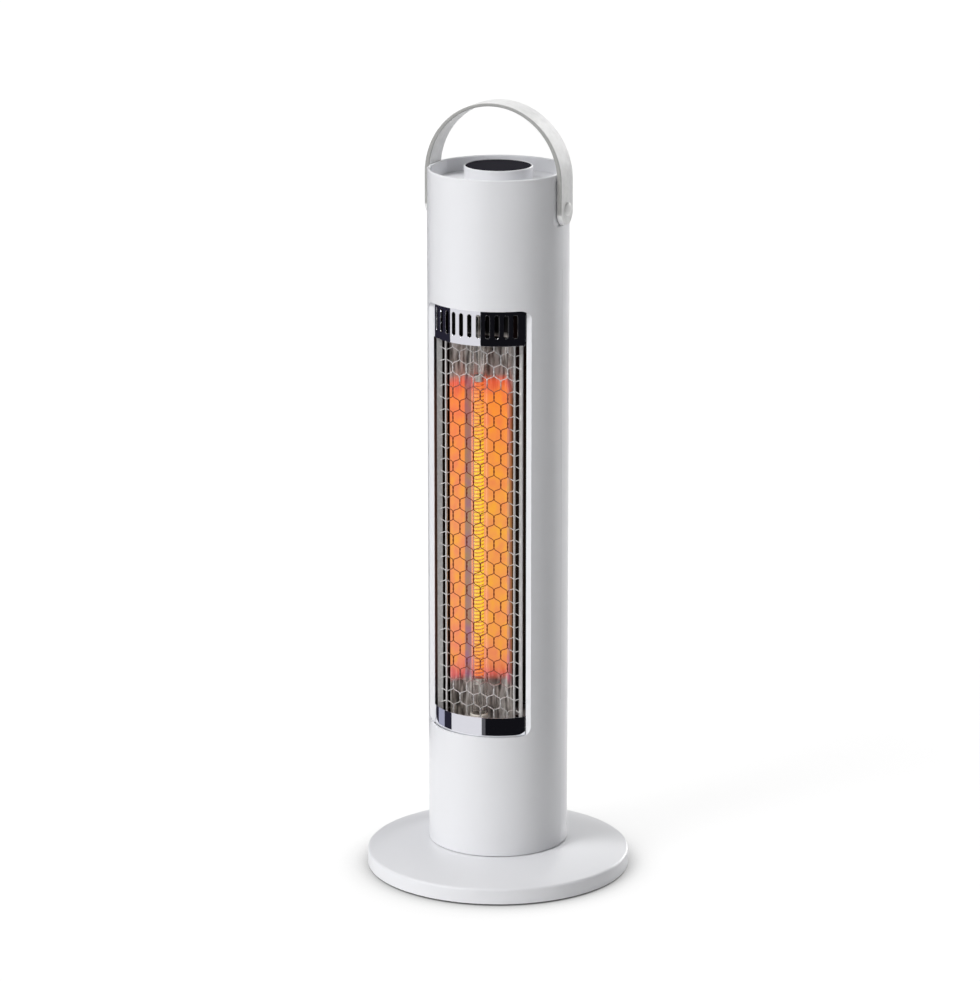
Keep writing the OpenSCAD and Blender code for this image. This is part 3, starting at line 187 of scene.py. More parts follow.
# Each card's tier, the two angles from the camera's side that it spans, and its colour
CARDS = [
    (LOWER_TIER, -175, -121.5, NAVY),
    (LOWER_TIER, -121.5, -102.3, BLUE_GREY),
    (LOWER_TIER, -102.3, -84.1, NAVY),
    (LOWER_TIER, -84.1, -27.0, PALE),
    (LOWER_TIER, -27.0, -20.9, MID_GREY),
    (LOWER_TIER, -20.9, 100, BLACK),
    (UPPER_TIER, -175, -85.2, NAVY),
    (UPPER_TIER, -85.2, -28.6, PALE),
    (UPPER_TIER, -28.6, 100, BLACK),
]


def mesh_object(name, points, faces, smooth=True):
    """A new object at the origin from arrays of points and of faces."""
    mesh = bpy.data.meshes.new(name)
    mesh.from_pydata(points.reshape(-1, 3).tolist(), [], [list(face) for face in faces])
    mesh.polygons.foreach_set("use_smooth", np.full(len(mesh.polygons), smooth))
    mesh.update()
    made = bpy.data.objects.new(name, mesh)
    scene.collection.objects.link(made)
    return made


def grid_faces(rows, columns, close_columns=False):
    """The quads of a grid of points in rows and columns, each row wrapped round where it is a ring."""
    row = np.arange(rows - 1)[:, None] * columns
    here = np.arange(columns if close_columns else columns - 1)[None, :]
    beside = (here + 1) % columns
    quads = np.stack([row + here, row + beside, row + columns + beside, row + columns + here], -1)
    return quads.reshape(-1, 4)


for k, (tier, start, end, color) in enumerate(CARDS):
    steps = 2 + round((end - start) / CARD_STEP_DEGREES)
    turns = CAMERA_TURN + np.radians(np.linspace(start, end, steps))
    ground = CARD_DISTANCE * np.stack([np.sin(turns), -np.cos(turns), 0 * turns], -1)
    card = mesh_object(f"card_{k}", np.stack([ground + [0, 0, z] for z in tier]), grid_faces(2, len(turns)))
    for kind in ("camera", "diffuse", "transmission", "volume_scatter", "shadow"):
        setattr(card, f"visible_{kind}", False)
    sheet = bpy.data.materials.new(f"card {k}")
    sheet.use_nodes = True
    sheet.node_tree.nodes.clear()
    glow = sheet.node_tree.nodes.new("ShaderNodeEmission")
    glow.inputs["Color"].default_value = (*color, 1)
    out = sheet.node_tree.nodes.new("ShaderNodeOutputMaterial")
    sheet.node_tree.links.new(glow.outputs[0], out.inputs["Surface"])
    card.data.materials.append(sheet)

# Base cover, column shells and top
# The domed cover of the base, the column's housing and crown, the rear cover, the top's tray and its
# round pedestal are moulded in one white ABS, with a satin gloss and a faint moulded grain.
SHELL_COLOR = (0.83, 0.835, 0.86)
SHELL_ROUGHNESS = 0.30
GLOSS_SPREAD = 0.1


def noise(tree, per_metre, detail=3.0, stretch=(1, 1, 1)):
    """A noise texture on the piece's own coordinates, stretched along some of the axes."""
    where = tree.nodes.new("ShaderNodeTexCoord")
    mapping = tree.nodes.new("ShaderNodeMapping")
    mapping.inputs["Scale"].default_value = stretch
    texture = tree.nodes.new("ShaderNodeTexNoise")
    texture.inputs["Scale"].default_value = per_metre
    texture.inputs["Detail"].default_value = detail
    tree.links.new(where.outputs["Object"], mapping.inputs["Vector"])
    tree.links.new(mapping.outputs[0], texture.inputs["Vector"])
    return texture


def blend_colors(tree, share, first, second):
    """A colour socket between two colours or colour sockets, by a share that is a socket."""
    mix = tree.nodes.new("ShaderNodeMix")
    mix.data_type = "RGBA"
    tree.links.new(share, mix.inputs["Factor"])
    for socket, color in ((mix.inputs["A"], first), (mix.inputs["B"], second)):
        if isinstance(color, bpy.types.NodeSocket):
            tree.links.new(color, socket)
        else:
            socket.default_value = (*color[:3], 1)
    return mix.outputs["Result"]


def finish(name, color, roughness, grain, depth, mottle, metallic=0.0, specular=0.5, stretch=(1, 1, 1)):
    """A material whose colour and gloss vary with a noise of so many grains a metre, of a real depth."""
    material = bpy.data.materials.new(name)
    material.use_nodes = True
    tree = material.node_tree
    shader = tree.nodes["Principled BSDF"]
    shader.inputs["Metallic"].default_value = metallic
    shader.inputs["Specular IOR Level"].default_value = specular
    texture = noise(tree, grain, stretch=stretch)
    darker = [c * (1 - mottle) for c in color]
    lighter = [min(1.0, c * (1 + mottle)) for c in color]
    color_socket = blend_colors(tree, texture.outputs["Fac"], darker, lighter)
    tree.links.new(color_socket, shader.inputs["Base Color"])
    gloss = tree.nodes.new("ShaderNodeMapRange")
    gloss.inputs["To Min"].default_value = roughness * (1 - GLOSS_SPREAD)
    gloss.inputs["To Max"].default_value = roughness * (1 + GLOSS_SPREAD)
    tree.links.new(texture.outputs["Fac"], gloss.inputs["Value"])
    tree.links.new(gloss.outputs["Result"], shader.inputs["Roughness"])
    bump = tree.nodes.new("ShaderNodeBump")
    bump.inputs["Distance"].default_value = depth
    tree.links.new(texture.outputs["Fac"], bump.inputs["Height"])
    tree.links.new(bump.outputs[0], shader.inputs["Normal"])
    return material


def workings(material):
    """A material's node tree and the shader in it."""
    return material.node_tree, material.node_tree.nodes["Principled BSDF"]


def dress(material, *names):
    """Gives CAD nodes one material."""
    for name in names:
        mesh = nodes[name].data
        mesh.materials.clear()
        mesh.materials.append(material)


shell = finish("white shell", SHELL_COLOR, SHELL_ROUGHNESS, grain=900, depth=0.00001, mottle=0.008)
dress(shell, "base_cover", "column_crown", "rear_cover", "top_tray", "panel_pedestal")

# Ballast plate, feet and bush
# A black painted steel disc closes the base from below. Six soft black rubber feet are pressed into it,
# and a rubber bush lines the cord's way in at the rear.
plate = finish("black plate paint", (0.025, 0.025, 0.027), 0.45, grain=700, depth=0.00003, mottle=0.15)
dress(plate, "base_plate")
rubber = finish("black rubber", (0.018, 0.018, 0.018), 0.8, grain=1200, depth=0.00003, mottle=0.2)
dress(rubber, "rubber_feet", "cord_grommet")

# Swivel post, gear and bearings
# The column turns on a turned steel post with a snap ring. Gear, pinion and slide washer are slippery
# off-white acetal, and every screw is zinc-plated steel.
zinc = finish("zinc", (0.58, 0.59, 0.62), 0.32, grain=2500, depth=0.00001, mottle=0.1, metallic=1.0)
dress(
    zinc, "base_screws", "post_screws", "foot_screws", "rear_cover_screws", "bracket_screws",
    "fan_screws", "motor_screws", "tray_screws", "retaining_ring",
)
turned = finish(
    "turned steel", (0.56, 0.57, 0.59), 0.25, grain=300, depth=0.00001, mottle=0.08, metallic=1.0,
    stretch=(1, 1, 12),
)
dress(turned, "swivel_post", "fan_shaft")
acetal = finish("acetal", (0.78, 0.78, 0.72), 0.42, grain=900, depth=0.00001, mottle=0.03)
dress(acetal, "swivel_gear", "slide_washer", "swivel_pinion")

# Turntable, fan, motors and boards
# The turntable, the fan's frame and blades and the two switches are moulded in black nylon. The motors
# have plated cans, the brackets are zinc-plated sheet, and the boards are green with a clear lacquer.
nylon = finish("black nylon", (0.022, 0.022, 0.024), 0.5, grain=1100, depth=0.00002, mottle=0.2)
dress(nylon, "column_foot", "fan_frame", "fan_rotor", "tilt_switch", "thermal_cutout")
can = finish(
    "motor can", (0.50, 0.51, 0.53), 0.35, grain=500, depth=0.00002, mottle=0.1, metallic=1.0,
    stretch=(1, 1, 6),
)
dress(can, "fan_motor", "swivel_motor", "lower_bracket", "upper_bracket")
board = finish("green board", (0.018, 0.12, 0.045), 0.4, grain=1500, depth=0.00002, mottle=0.25)
dress(board, "power_board", "display_board")

# Heat liner
# A half round sheet behind the lamp keeps the heat off the housing. It is steel with black enamel.
enamel = finish(
    "black enamel", (0.010, 0.010, 0.011), 0.5, grain=300, depth=0.00005, mottle=0.3, specular=0.2
)
dress(enamel, "heat_liner")

# Reflector
# One folded sheet of bright aluminium, crimped in its brackets. Beside the glowing length its emission is a
# painted reflection of the glow, orange fold by fold and dimmed where the sheet is seen at a slant. Beyond
# the glow it shows its own streaked grey, and above the head band it is painted black as painted shade.
MM = 0.001
GLOW_BOTTOM = 193 * MM
GLOW_TOP = 477 * MM
GLOW_EDGE = 7 * MM
SLOPE_PAINTED_GLOW = (0.90, 0.315, 0.105)
FACET_PAINTED_GLOW = (0.340, 0.190, 0.165)
RIDGE_PAINTED_GLOW = (0.85, 0.36, 0.16)
RIGHT_PAINTED_GLOW = (0.890, 0.330, 0.075)
RIGHT_FACET_PAINTED_GLOW = (0.66, 0.30, 0.16)
RIGHT_FACET_EDGE_PAINTED_GLOW = (0.62, 0.28, 0.15)
RIGHT_FOLD_PAINTED_GLOW = (0.25, 0.13, 0.11)
BARE_PAINTED_GLOW = (0.010, 0.006, 0.006)
END_TINT = (0.72, 0.36, 0.62)
PAINTED_TOP_SHADE = (0.02, 0.02, 0.02)
TOP_SHADE_BOTTOM = 520 * MM
TOP_SHADE_FULL = 524 * MM
SHEET_TOP = 560 * MM


def coordinate(tree, axis):
    """A socket with the piece's own X, Y or Z."""
    where = tree.nodes.new("ShaderNodeTexCoord")
    split = tree.nodes.new("ShaderNodeSeparateXYZ")
    tree.links.new(where.outputs["Object"], split.inputs[0])
    return split.outputs[axis]


def color_along(tree, value, stops):
    """A colour that runs through stops, each a place and a colour, as a value goes from one to the next."""
    low, high = stops[0][0], stops[-1][0]
    scaled = tree.nodes.new("ShaderNodeMapRange")
    scaled.inputs["From Min"].default_value = low
    scaled.inputs["From Max"].default_value = high
    tree.links.new(value, scaled.inputs["Value"])
    ramp = tree.nodes.new("ShaderNodeValToRGB")
    tree.links.new(scaled.outputs["Result"], ramp.inputs["Fac"])
    elements = ramp.color_ramp.elements
    # A new ramp comes with two elements, and the others are added
    for k, (place, color) in enumerate(stops):
        at = (place - low) / (high - low)
        element = elements[k] if k < 2 else elements.new(at)
        element.position = at
        element.color = (*color, 1)
    return ramp.outputs["Color"]


def product(tree, first, second):
    """The product of two colour sockets."""
    mix = tree.nodes.new("ShaderNodeMix")
    mix.data_type = "RGBA"
    mix.blend_type = "MULTIPLY"
    mix.inputs["Factor"].default_value = 1
    tree.links.new(first, mix.inputs["A"])
    tree.links.new(second, mix.inputs["B"])
    return mix.outputs["Result"]


def glow_heights(tree, tint, edge=GLOW_EDGE):
    """White between the glow's ends, through a tint to black over a soft edge at each of them."""
    dark, full = (0, 0, 0), (1, 1, 1)
    return color_along(tree, coordinate(tree, "Z"), [
        (GLOW_BOTTOM - edge, dark), (GLOW_BOTTOM, tint), (GLOW_BOTTOM + 2 * edge, full),
        (GLOW_TOP - 2 * edge, full), (GLOW_TOP, tint), (GLOW_TOP + edge, dark),
    ])


foil = finish(
    "reflector sheet", (0.62, 0.59, 0.56), 0.38, grain=260, depth=0.0006, mottle=0.75, metallic=0.6,
    stretch=(1, 1, 0.22),
)
tree, shader = workings(foil)
# Each fold of the sheet, from left to right, gets its own painted reflection of the glow
painted_glow_by_fold = color_along(tree, coordinate(tree, "X"), [
    (-36 * MM, BARE_PAINTED_GLOW), (-33.5 * MM, SLOPE_PAINTED_GLOW), (-24 * MM, SLOPE_PAINTED_GLOW),
    (-23.3 * MM, FACET_PAINTED_GLOW), (-18.7 * MM, FACET_PAINTED_GLOW),
    (-18.2 * MM, SLOPE_PAINTED_GLOW), (-8 * MM, SLOPE_PAINTED_GLOW),
    (-4.5 * MM, RIDGE_PAINTED_GLOW), (-2 * MM, RIGHT_PAINTED_GLOW),
    (12 * MM, RIGHT_PAINTED_GLOW), (13 * MM, RIGHT_FACET_PAINTED_GLOW), (20.5 * MM, RIGHT_FACET_EDGE_PAINTED_GLOW),
    (22.5 * MM, RIGHT_FOLD_PAINTED_GLOW), (24.5 * MM, SLOPE_PAINTED_GLOW), (29.5 * MM, SLOPE_PAINTED_GLOW),
    (31 * MM, BARE_PAINTED_GLOW), (36 * MM, BARE_PAINTED_GLOW),
])
blotches = noise(tree, 110, detail=1.0, stretch=(1, 1, 0.7))
spots = color_along(tree, blotches.outputs["Fac"], [
    (0.30, (0.96, 0.84, 1.15)), (0.5, (1.0, 1.0, 1.0)), (0.70, (1.03, 1.16, 0.68)),
])
# The painted glow is pinker at its lower end and redder at its upper one
warmth = color_along(tree, coordinate(tree, "Z"), [
    (GLOW_BOTTOM, (0.92, 0.80, 1.25)), (250 * MM, (1.0, 1.0, 1.05)), (340 * MM, (1.0, 1.06, 1.0)),
    (400 * MM, (1.02, 0.92, 0.85)), (GLOW_TOP, (1.06, 0.72, 0.62)),
])
painted_glow = product(tree, product(tree, product(tree, painted_glow_by_fold, spots), warmth), glow_heights(tree, END_TINT))
# The painted reflection fades to dark grey where the sheet is seen at a slant
slant = tree.nodes.new("ShaderNodeLayerWeight")
slant.inputs["Blend"].default_value = 0.5
square = color_along(tree, slant.outputs["Facing"], [
    (0.0, (1, 1, 1)), (0.60, (1, 1, 1)), (0.76, (0.12, 0.12, 0.14)), (1.0, (0.08, 0.08, 0.09)),
])
tree.links.new(product(tree, painted_glow, square), shader.inputs["Emission Color"])
shader.inputs["Emission Strength"].default_value = 1.0
streaks = noise(tree, 300, detail=3.0, stretch=(1, 1, 0.16))
metal = color_along(tree, streaks.outputs["Fac"], [
    (0.36, (0.16, 0.15, 0.14)), (0.50, (0.52, 0.49, 0.46)), (0.60, (0.95, 0.93, 0.90)),
])
# Within the glow's heights the sheet's own colour goes nearly black, so only the painted glow shows there
heat = glow_heights(tree, (0.6, 0.6, 0.6))
metal_beside_painted_glow = blend_colors(tree, heat, metal, (0.03, 0.02, 0.02))
# Painted shade: above the head band the sheet is painted black, so its lit top stays dark behind the slots
top_shade_factor = color_along(tree, coordinate(tree, "Z"), [
    (TOP_SHADE_BOTTOM, (1, 1, 1)), (TOP_SHADE_FULL, PAINTED_TOP_SHADE), (SHEET_TOP, PAINTED_TOP_SHADE),
])
tree.links.new(product(tree, metal_beside_painted_glow, top_shade_factor), shader.inputs["Base Color"])
dress(foil, "reflector")

# Quartz tube and its ends
# A clear quartz tube is held in two steatite caps. At its walls' edges an emission paints the glow's
# reflection as two pink lines, a painted reflection. Nickel clamps and leads carry the current in.
WALL_PINK = (0.30, 0.12, 0.10)
EDGE_PINK = (0.62, 0.30, 0.30)
WALL_END_TINT = (0.5, 0.4, 0.6)
quartz = finish("quartz", (1.0, 0.98, 0.97), 0.03, grain=40, depth=0.00002, mottle=0.01)
tree, shader = workings(quartz)
shader.inputs["Transmission Weight"].default_value = 1.0
shader.inputs["IOR"].default_value = 1.45
# Painted reflection: a pink emission grows towards the walls' edges, between the glow's ends
facing = tree.nodes.new("ShaderNodeLayerWeight")
facing.inputs["Blend"].default_value = 0.5
painted_edge_glow = color_along(tree, facing.outputs["Facing"], [
    (0.45, (0, 0, 0)), (0.75, WALL_PINK), (1.0, EDGE_PINK),
])
painted_wall_glow = product(tree, painted_edge_glow, glow_heights(tree, WALL_END_TINT))
tree.links.new(painted_wall_glow, shader.inputs["Emission Color"])
shader.inputs["Emission Strength"].default_value = 1.0
dress(quartz, "quartz_tube")
steatite = finish("steatite", (0.72, 0.69, 0.62), 0.55, grain=900, depth=0.00004, mottle=0.06)
dress(steatite, "lamp_caps")
nickel = finish("nickel", (0.42, 0.40, 0.37), 0.3, grain=1500, depth=0.00001, mottle=0.1, metallic=1.0)
dress(nickel, "lamp_leads")

# Carbon spiral
# A flat carbon ribbon wound in 80 even turns between the clamps. It glows yellow, redder towards its
# cooler ends. Its inner faces and edges glow dimmer, a painted shade that shows the gaps between its
# turns as darker lines.
SPIRAL_TURNS = 80
SPIRAL_STEPS = 32
RIBBON_THICKNESS = 0.35 * MM
RIBBON_SHARE = 0.64
CARBON_COLOR = (0.05, 0.02, 0.01)
HOT = (1.0, 0.63, 0.02)
WARM = (0.93, 0.30, 0.03)
RED = (0.80, 0.12, 0.02)
INNER_HOT = (0.60, 0.21, 0.03)
INNER_RED = (0.40, 0.05, 0.01)
WARM_LENGTH = 14 * MM
LOWER_FADE = 60 * MM
UPPER_FADE = 70 * MM


def ribbon_spiral(centre, low, high, radius, turns, thickness, share):
    """Grid of points on a flat ribbon wound on a cylinder: the angle grows evenly with the height, and each
    turn's ribbon covers a share of the pitch. The four corners of its section run round the second axis."""
    angle = np.linspace(0, 2 * np.pi * turns, turns * SPIRAL_STEPS + 1)[:, None]
    pitch = (high - low) / (turns + share)
    half = np.array([[-0.5, 0.5, 0.5, -0.5]]) * pitch * share
    out_by = np.array([[0.5, 0.5, -0.5, -0.5]]) * thickness
    reach = radius + out_by
    height = low + pitch * (share / 2 + angle / (2 * np.pi)) + half
    return np.stack([centre[0] + reach * np.cos(angle), centre[1] + reach * np.sin(angle), height], -1)


low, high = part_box("carbon_filament")
centre = ((low.x + high.x) / 2, (low.y + high.y) / 2)
reach = (high.x - low.x - RIBBON_THICKNESS) / 2
points = ribbon_spiral(centre, low.z, high.z, reach, SPIRAL_TURNS, RIBBON_THICKNESS, RIBBON_SHARE)
rings, corners = points.shape[:2]
faces = grid_faces(rings, corners, close_columns=True)[:, ::-1]
last = (rings - 1) * corners
ends = np.array([[0, 1, 2, 3], [last + 3, last + 2, last + 1, last]])
spiral = mesh_object("carbon_spiral", points, np.concatenate([faces, ends]), smooth=False)
carbon = finish("glowing carbon", CARBON_COLOR, 0.6, grain=900, depth=0.00002, mottle=0.2)
tree, shader = workings(carbon)
body_glow = color_along(tree, coordinate(tree, "Z"), [
    (low.z, RED), (low.z + WARM_LENGTH, WARM), (low.z + LOWER_FADE, HOT),
    (high.z - UPPER_FADE, HOT), (high.z - WARM_LENGTH, WARM), (high.z, RED),
])
tree.links.new(body_glow, shader.inputs["Emission Color"])
shader.inputs["Emission Strength"].default_value = 1.0
spiral.data.materials.append(carbon)
shaded = finish("carbon inside", CARBON_COLOR, 0.6, grain=900, depth=0.00002, mottle=0.2)
tree, shader = workings(shaded)
inner_glow = color_along(tree, coordinate(tree, "Z"), [
    (low.z, INNER_RED), (low.z + LOWER_FADE, INNER_HOT), (high.z - UPPER_FADE, INNER_HOT),
    (high.z, INNER_RED),
])
tree.links.new(inner_glow, shader.inputs["Emission Color"])
shader.inputs["Emission Strength"].default_value = 1.0
spiral.data.materials.append(shaded)
# Of each four faces round the ribbon the first looks outwards; the others get the painted shade
sides = np.arange(len(spiral.data.polygons)) % corners
spiral.data.polygons.foreach_set("material_index", np.where(sides == 0, 0, 1))
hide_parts("carbon_filament")
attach(spiral, "column")

# Guard
# Hexagonal netting twisted from nickel-plated wire, in front of the lamp. It hangs on two upright rods
# and on two flat strips that turn inwards at its sides. In front of the glow the wires are painted dark
# brown, a painted shade.
CELL_WIDTH = 14.1 * MM
ROW_HEIGHT = 11.846 * MM
STRAND_LENGTH = 7.9 * MM
ROW_CENTRE = 244.4 * MM
NET_WIRES = 12
NET_OVERLAP = 3 * MM
WIRE_RADIUS = 0.40 * MM
WIRE_SIDES = 6
ROD_SIDES = 20
STEPS_PER_ROW = 14
ROD_RADIUS = 1.05 * MM
ROD_PLACE = 2.5 * CELL_WIDTH
STRIP_PLACE = 41.95 * MM
STRIP_WIDTH = 5.0 * MM
STRIP_THICKNESS = 0.9 * MM
STRIP_TURN = math.radians(30)
SHARP_ANGLE = math.radians(50)
PAINTED_SHADE_BROWN = (0.20, 0.035, 0.02)
SHADE_END_TINT = (0.9, 0.9, 0.9)


def tube(path, radius, sides):
    """A closed tube round a path that climbs near the XZ plane: rings of points square to the path, and its
    quads and two end faces."""
    along = np.gradient(path, axis=0)
    along /= np.linalg.norm(along, axis=1, keepdims=True)
    side = np.cross([0.0, 1.0, 0.0], along)
    side /= np.linalg.norm(side, axis=1, keepdims=True)
    front = np.cross(along, side)
    angle = 2 * np.pi * np.arange(sides) / sides
    ring = np.cos(angle)[None, :, None] * side[:, None] + np.sin(angle)[None, :, None] * front[:, None]
    faces = grid_faces(len(path), sides, close_columns=True).tolist()
    bottom = list(range(sides))
    top = [k + (len(path) - 1) * sides for k in bottom]
    return (path[:, None] + radius * ring).reshape(-1, 3), faces + [bottom[::-1], top]


def net_wire(column, heights, depth):
    """One wire of the net. It swings between two neighbouring uprights, lies along one of them over each
    strand's length and there twists once round the wire from the other side."""
    swing = 1 if column % 2 == 0 else -1
    rows = (heights - ROW_CENTRE) / ROW_HEIGHT
    away = np.abs((rows + 1) % 2 - 1)
    flat = STRAND_LENGTH / (2 * ROW_HEIGHT)
    side = swing * np.cos(np.pi * np.clip((away - flat) / (1 - 2 * flat), 0, 1))
    from_strand = (rows + 0.5) % 1 - 0.5
    turn = 2 * np.pi * np.clip(0.5 + from_strand / (2 * flat), 0, 1)
    x = CELL_WIDTH / 2 * (column + 0.5 + side / 2) - WIRE_RADIUS * side * np.cos(turn)
    y = -depth + WIRE_RADIUS * side * np.sin(turn)
    return np.stack([x, y, heights], -1)


def upright_bar(corners, low, high):
    """A closed bar between two heights over a convex outline that runs anticlockwise."""
    count = len(corners)
    ground = np.column_stack([corners, np.zeros(count)])
    points = np.concatenate([ground + [0, 0, low], ground + [0, 0, high]])
    faces = grid_faces(2, count, close_columns=True).tolist()
    bottom = list(range(count))
    return points, faces + [bottom[::-1], [k + count for k in bottom]]


def joined(pieces):
    """The points and faces of several pieces as one set."""
    points, faces, start = [], [], 0
    for piece_points, piece_faces in pieces:
        points.append(piece_points)
        faces += [[k + start for k in face] for face in piece_faces]
        start += len(piece_points)
    return np.concatenate(points), faces


low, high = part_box("guard_grille")
guard_depth = -(low.y + high.y) / 2
net_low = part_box("sill_band")[0].z + NET_OVERLAP
net_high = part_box("head_band")[0].z + NET_OVERLAP
heights = np.linspace(net_low, net_high, round((net_high - net_low) / ROW_HEIGHT * STEPS_PER_ROW) + 1)
pieces = []
for column in range(-NET_WIRES // 2, NET_WIRES // 2):
    path = net_wire(column, heights, guard_depth)
    pieces.append(tube(path, WIRE_RADIUS, WIRE_SIDES))
for s in (-1, 1):
    path = np.array([[s * ROD_PLACE, -guard_depth, low.z], [s * ROD_PLACE, -guard_depth, high.z]])
    pieces.append(tube(path, ROD_RADIUS, ROD_SIDES))
    along = np.array([math.cos(STRIP_TURN), s * -math.sin(STRIP_TURN)]) * STRIP_WIDTH / 2
    through = np.array([s * math.sin(STRIP_TURN), math.cos(STRIP_TURN)]) * STRIP_THICKNESS / 2
    middle = np.array([s * STRIP_PLACE, -guard_depth])
    outline = np.array([middle - along - through, middle + along - through, middle + along + through,
                        middle - along + through])
    pieces.append(upright_bar(outline, low.z, high.z))
guard = mesh_object("guard_net", *joined(pieces))
guard.data.set_sharp_from_angle(angle=SHARP_ANGLE)
plating = finish(
    "guard plating", (0.76, 0.75, 0.74), 0.36, grain=900, depth=0.00002, mottle=0.25, metallic=0.55,
    stretch=(1, 1, 0.5),
)
tree, shader = workings(plating)
# Painted shade: between the glow's ends and across its width the wires turn dark brown
beside_glow = color_along(tree, coordinate(tree, "X"), [
    (-34 * MM, (0, 0, 0)), (-31 * MM, (1, 1, 1)), (29 * MM, (1, 1, 1)), (32 * MM, (0, 0, 0)),
])
painted_glow_shade = product(tree, beside_glow, glow_heights(tree, SHADE_END_TINT))
plain = shader.inputs["Base Color"].links[0].from_socket
tree.links.new(blend_colors(tree, painted_glow_shade, plain, PAINTED_SHADE_BROWN), shader.inputs["Base Color"])
guard.data.materials.append(plating)
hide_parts("guard_grille")
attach(guard, "column")

# Bright bands
# Two strips of polished chromed steel bent round the column's front, a slotted one at the window's head
# and a plain one at its sill. The upper one has a ledge inside that the guard's rods stand in.
BAND_THICKNESS = 1.0 * MM
BAND_RADIUS = 62.4 * MM
BAND_BEVEL = 0.12 * MM
WELD_DISTANCE = 0.005 * MM
TINY = 1e-9
SLOT_COUNT = 11
SLOT_PITCH = math.radians(8)
SLOT_HALF_WIDTH = 2.2 * MM
SLOT_LENGTH = 22 * MM
SLOT_MARGIN = 4 * MM
LEDGE_BACK = 37.4 * MM
LEDGE_RISE = 3.8 * MM
LEDGE_THICKNESS = 1.2 * MM
LEDGE_POINTS = 60
LEDGE_SHARE = 0.995


def on_band(arc, height):
    """Points on the band's cylinder, by their way round it from the middle of the front and their height."""
    angle = arc / BAND_RADIUS
    return np.stack([BAND_RADIUS * np.sin(angle), -BAND_RADIUS * np.cos(angle), height + 0 * angle], -1)


def slotted_cell(half_width, top, bottom):
    """Grid of points from a slot's outline to the rectangle round it: each point of the outline looks away
    from the slot's spine, and its rays end on the rectangle. The corners' own rays are among them."""
    top_corner = math.atan2(top, half_width)
    bottom_corner = math.atan2(bottom, half_width)
    upper = np.concatenate([np.linspace(0, top_corner, 6), np.linspace(top_corner, math.pi / 2, 5)[1:]])
    past_corner = np.linspace(bottom_corner, math.pi / 2, 6)[1:]
    lower = np.concatenate([np.linspace(0, bottom_corner, 6), past_corner])
    straight = SLOT_LENGTH / 2 - SLOT_HALF_WIDTH
    middles = np.linspace(straight, -straight, 7)[1:-1]
    angle = np.concatenate([upper[::-1], 0 * middles, -lower])
    spine = np.concatenate([0 * upper + straight, middles, 0 * lower - straight])
    look = np.stack([np.cos(angle), np.sin(angle)], -1)
    reach_side = half_width / np.maximum(look[:, 0], TINY)
    reach_end = np.where(look[:, 1] > 0, top, bottom) / np.maximum(np.abs(look[:, 1]), TINY)
    reach = np.minimum(reach_side, reach_end)
    share = np.linspace(0, 1, 4)[:, None]
    length = SLOT_HALF_WIDTH + share * (reach - SLOT_HALF_WIDTH)
    right = np.stack([length * look[:, 0], spine + length * look[:, 1]], -1)
    left = right[:, ::-1][:, 1:-1] * [-1, 1]
    return np.concatenate([right, left], 1)


def welded(name, parts):
    """One object from grids of points and their faces, with the points they share joined."""
    points = np.concatenate([grid.reshape(-1, 3) for grid, faces in parts])
    starts = np.cumsum([0] + [grid.reshape(-1, 3).shape[0] for grid, faces in parts[:-1]])
    faces = [list(f) for start, (grid, few) in zip(starts, parts) for f in (few + start).tolist()]
    made = mesh_object(name, points, faces)
    work = bmesh.new()
    work.from_mesh(made.data)
    bmesh.ops.remove_doubles(work, verts=work.verts, dist=WELD_DISTANCE)
    bmesh.ops.recalc_face_normals(work, faces=work.faces)
    front = max(work.faces, key=lambda face: face.calc_area())
    if front.normal.dot(front.calc_center_median()) < 0:
        bmesh.ops.reverse_faces(work, faces=work.faces)
    work.to_mesh(made.data)
    work.free()
    return made


def thicken(piece):
    """Gives a band its thickness inwards and rounds its edges."""
    solid = piece.modifiers.new("thickness", "SOLIDIFY")
    solid.thickness = BAND_THICKNESS
    solid.offset = -1
    solid.use_even_offset = True
    edge = piece.modifiers.new("edges", "BEVEL")
    edge.width = BAND_BEVEL
    edge.segments = 2
    edge.limit_method = "ANGLE"
    edge.angle_limit = SHARP_ANGLE
    edge.harden_normals = True


polish = finish(
    "polished band", (0.93, 0.93, 0.95), 0.04, grain=20, depth=0.00001, mottle=0.01, metallic=1.0
)
low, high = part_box("head_band")
half_arc = BAND_RADIUS * math.asin(min(1.0, (high.x - low.x) / 2 / BAND_RADIUS))
half_cell = BAND_RADIUS * SLOT_PITCH / 2
slot_height = high.z - SLOT_MARGIN - SLOT_LENGTH / 2
end_centre = SLOT_LENGTH / 2 - SLOT_HALF_WIDTH
cell = slotted_cell(half_cell, high.z - slot_height - end_centre, slot_height - end_centre - low.z)
parts = []
for k in range(SLOT_COUNT):
    middle = (k - (SLOT_COUNT - 1) / 2) * SLOT_PITCH * BAND_RADIUS
    grid = on_band(middle + cell[..., 0], slot_height + cell[..., 1])
    parts.append((grid, grid_faces(*grid.shape[:2], close_columns=True)))
rim = cell[-1]
edge_heights = np.unique(np.round(slot_height + rim[np.abs(rim[:, 0] - half_cell) < TINY, 1], 9))
for s in (-1, 1):
    arcs = s * np.linspace(SLOT_COUNT * half_cell, half_arc, 5)
    grid = on_band(arcs[None, :] + 0 * edge_heights[:, None], edge_heights[:, None])
    parts.append((grid, grid_faces(*grid.shape[:2])))
head = welded("slotted_band", parts)
thicken(head)
head.data.materials.append(polish)
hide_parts("head_band")
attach(head, "column")

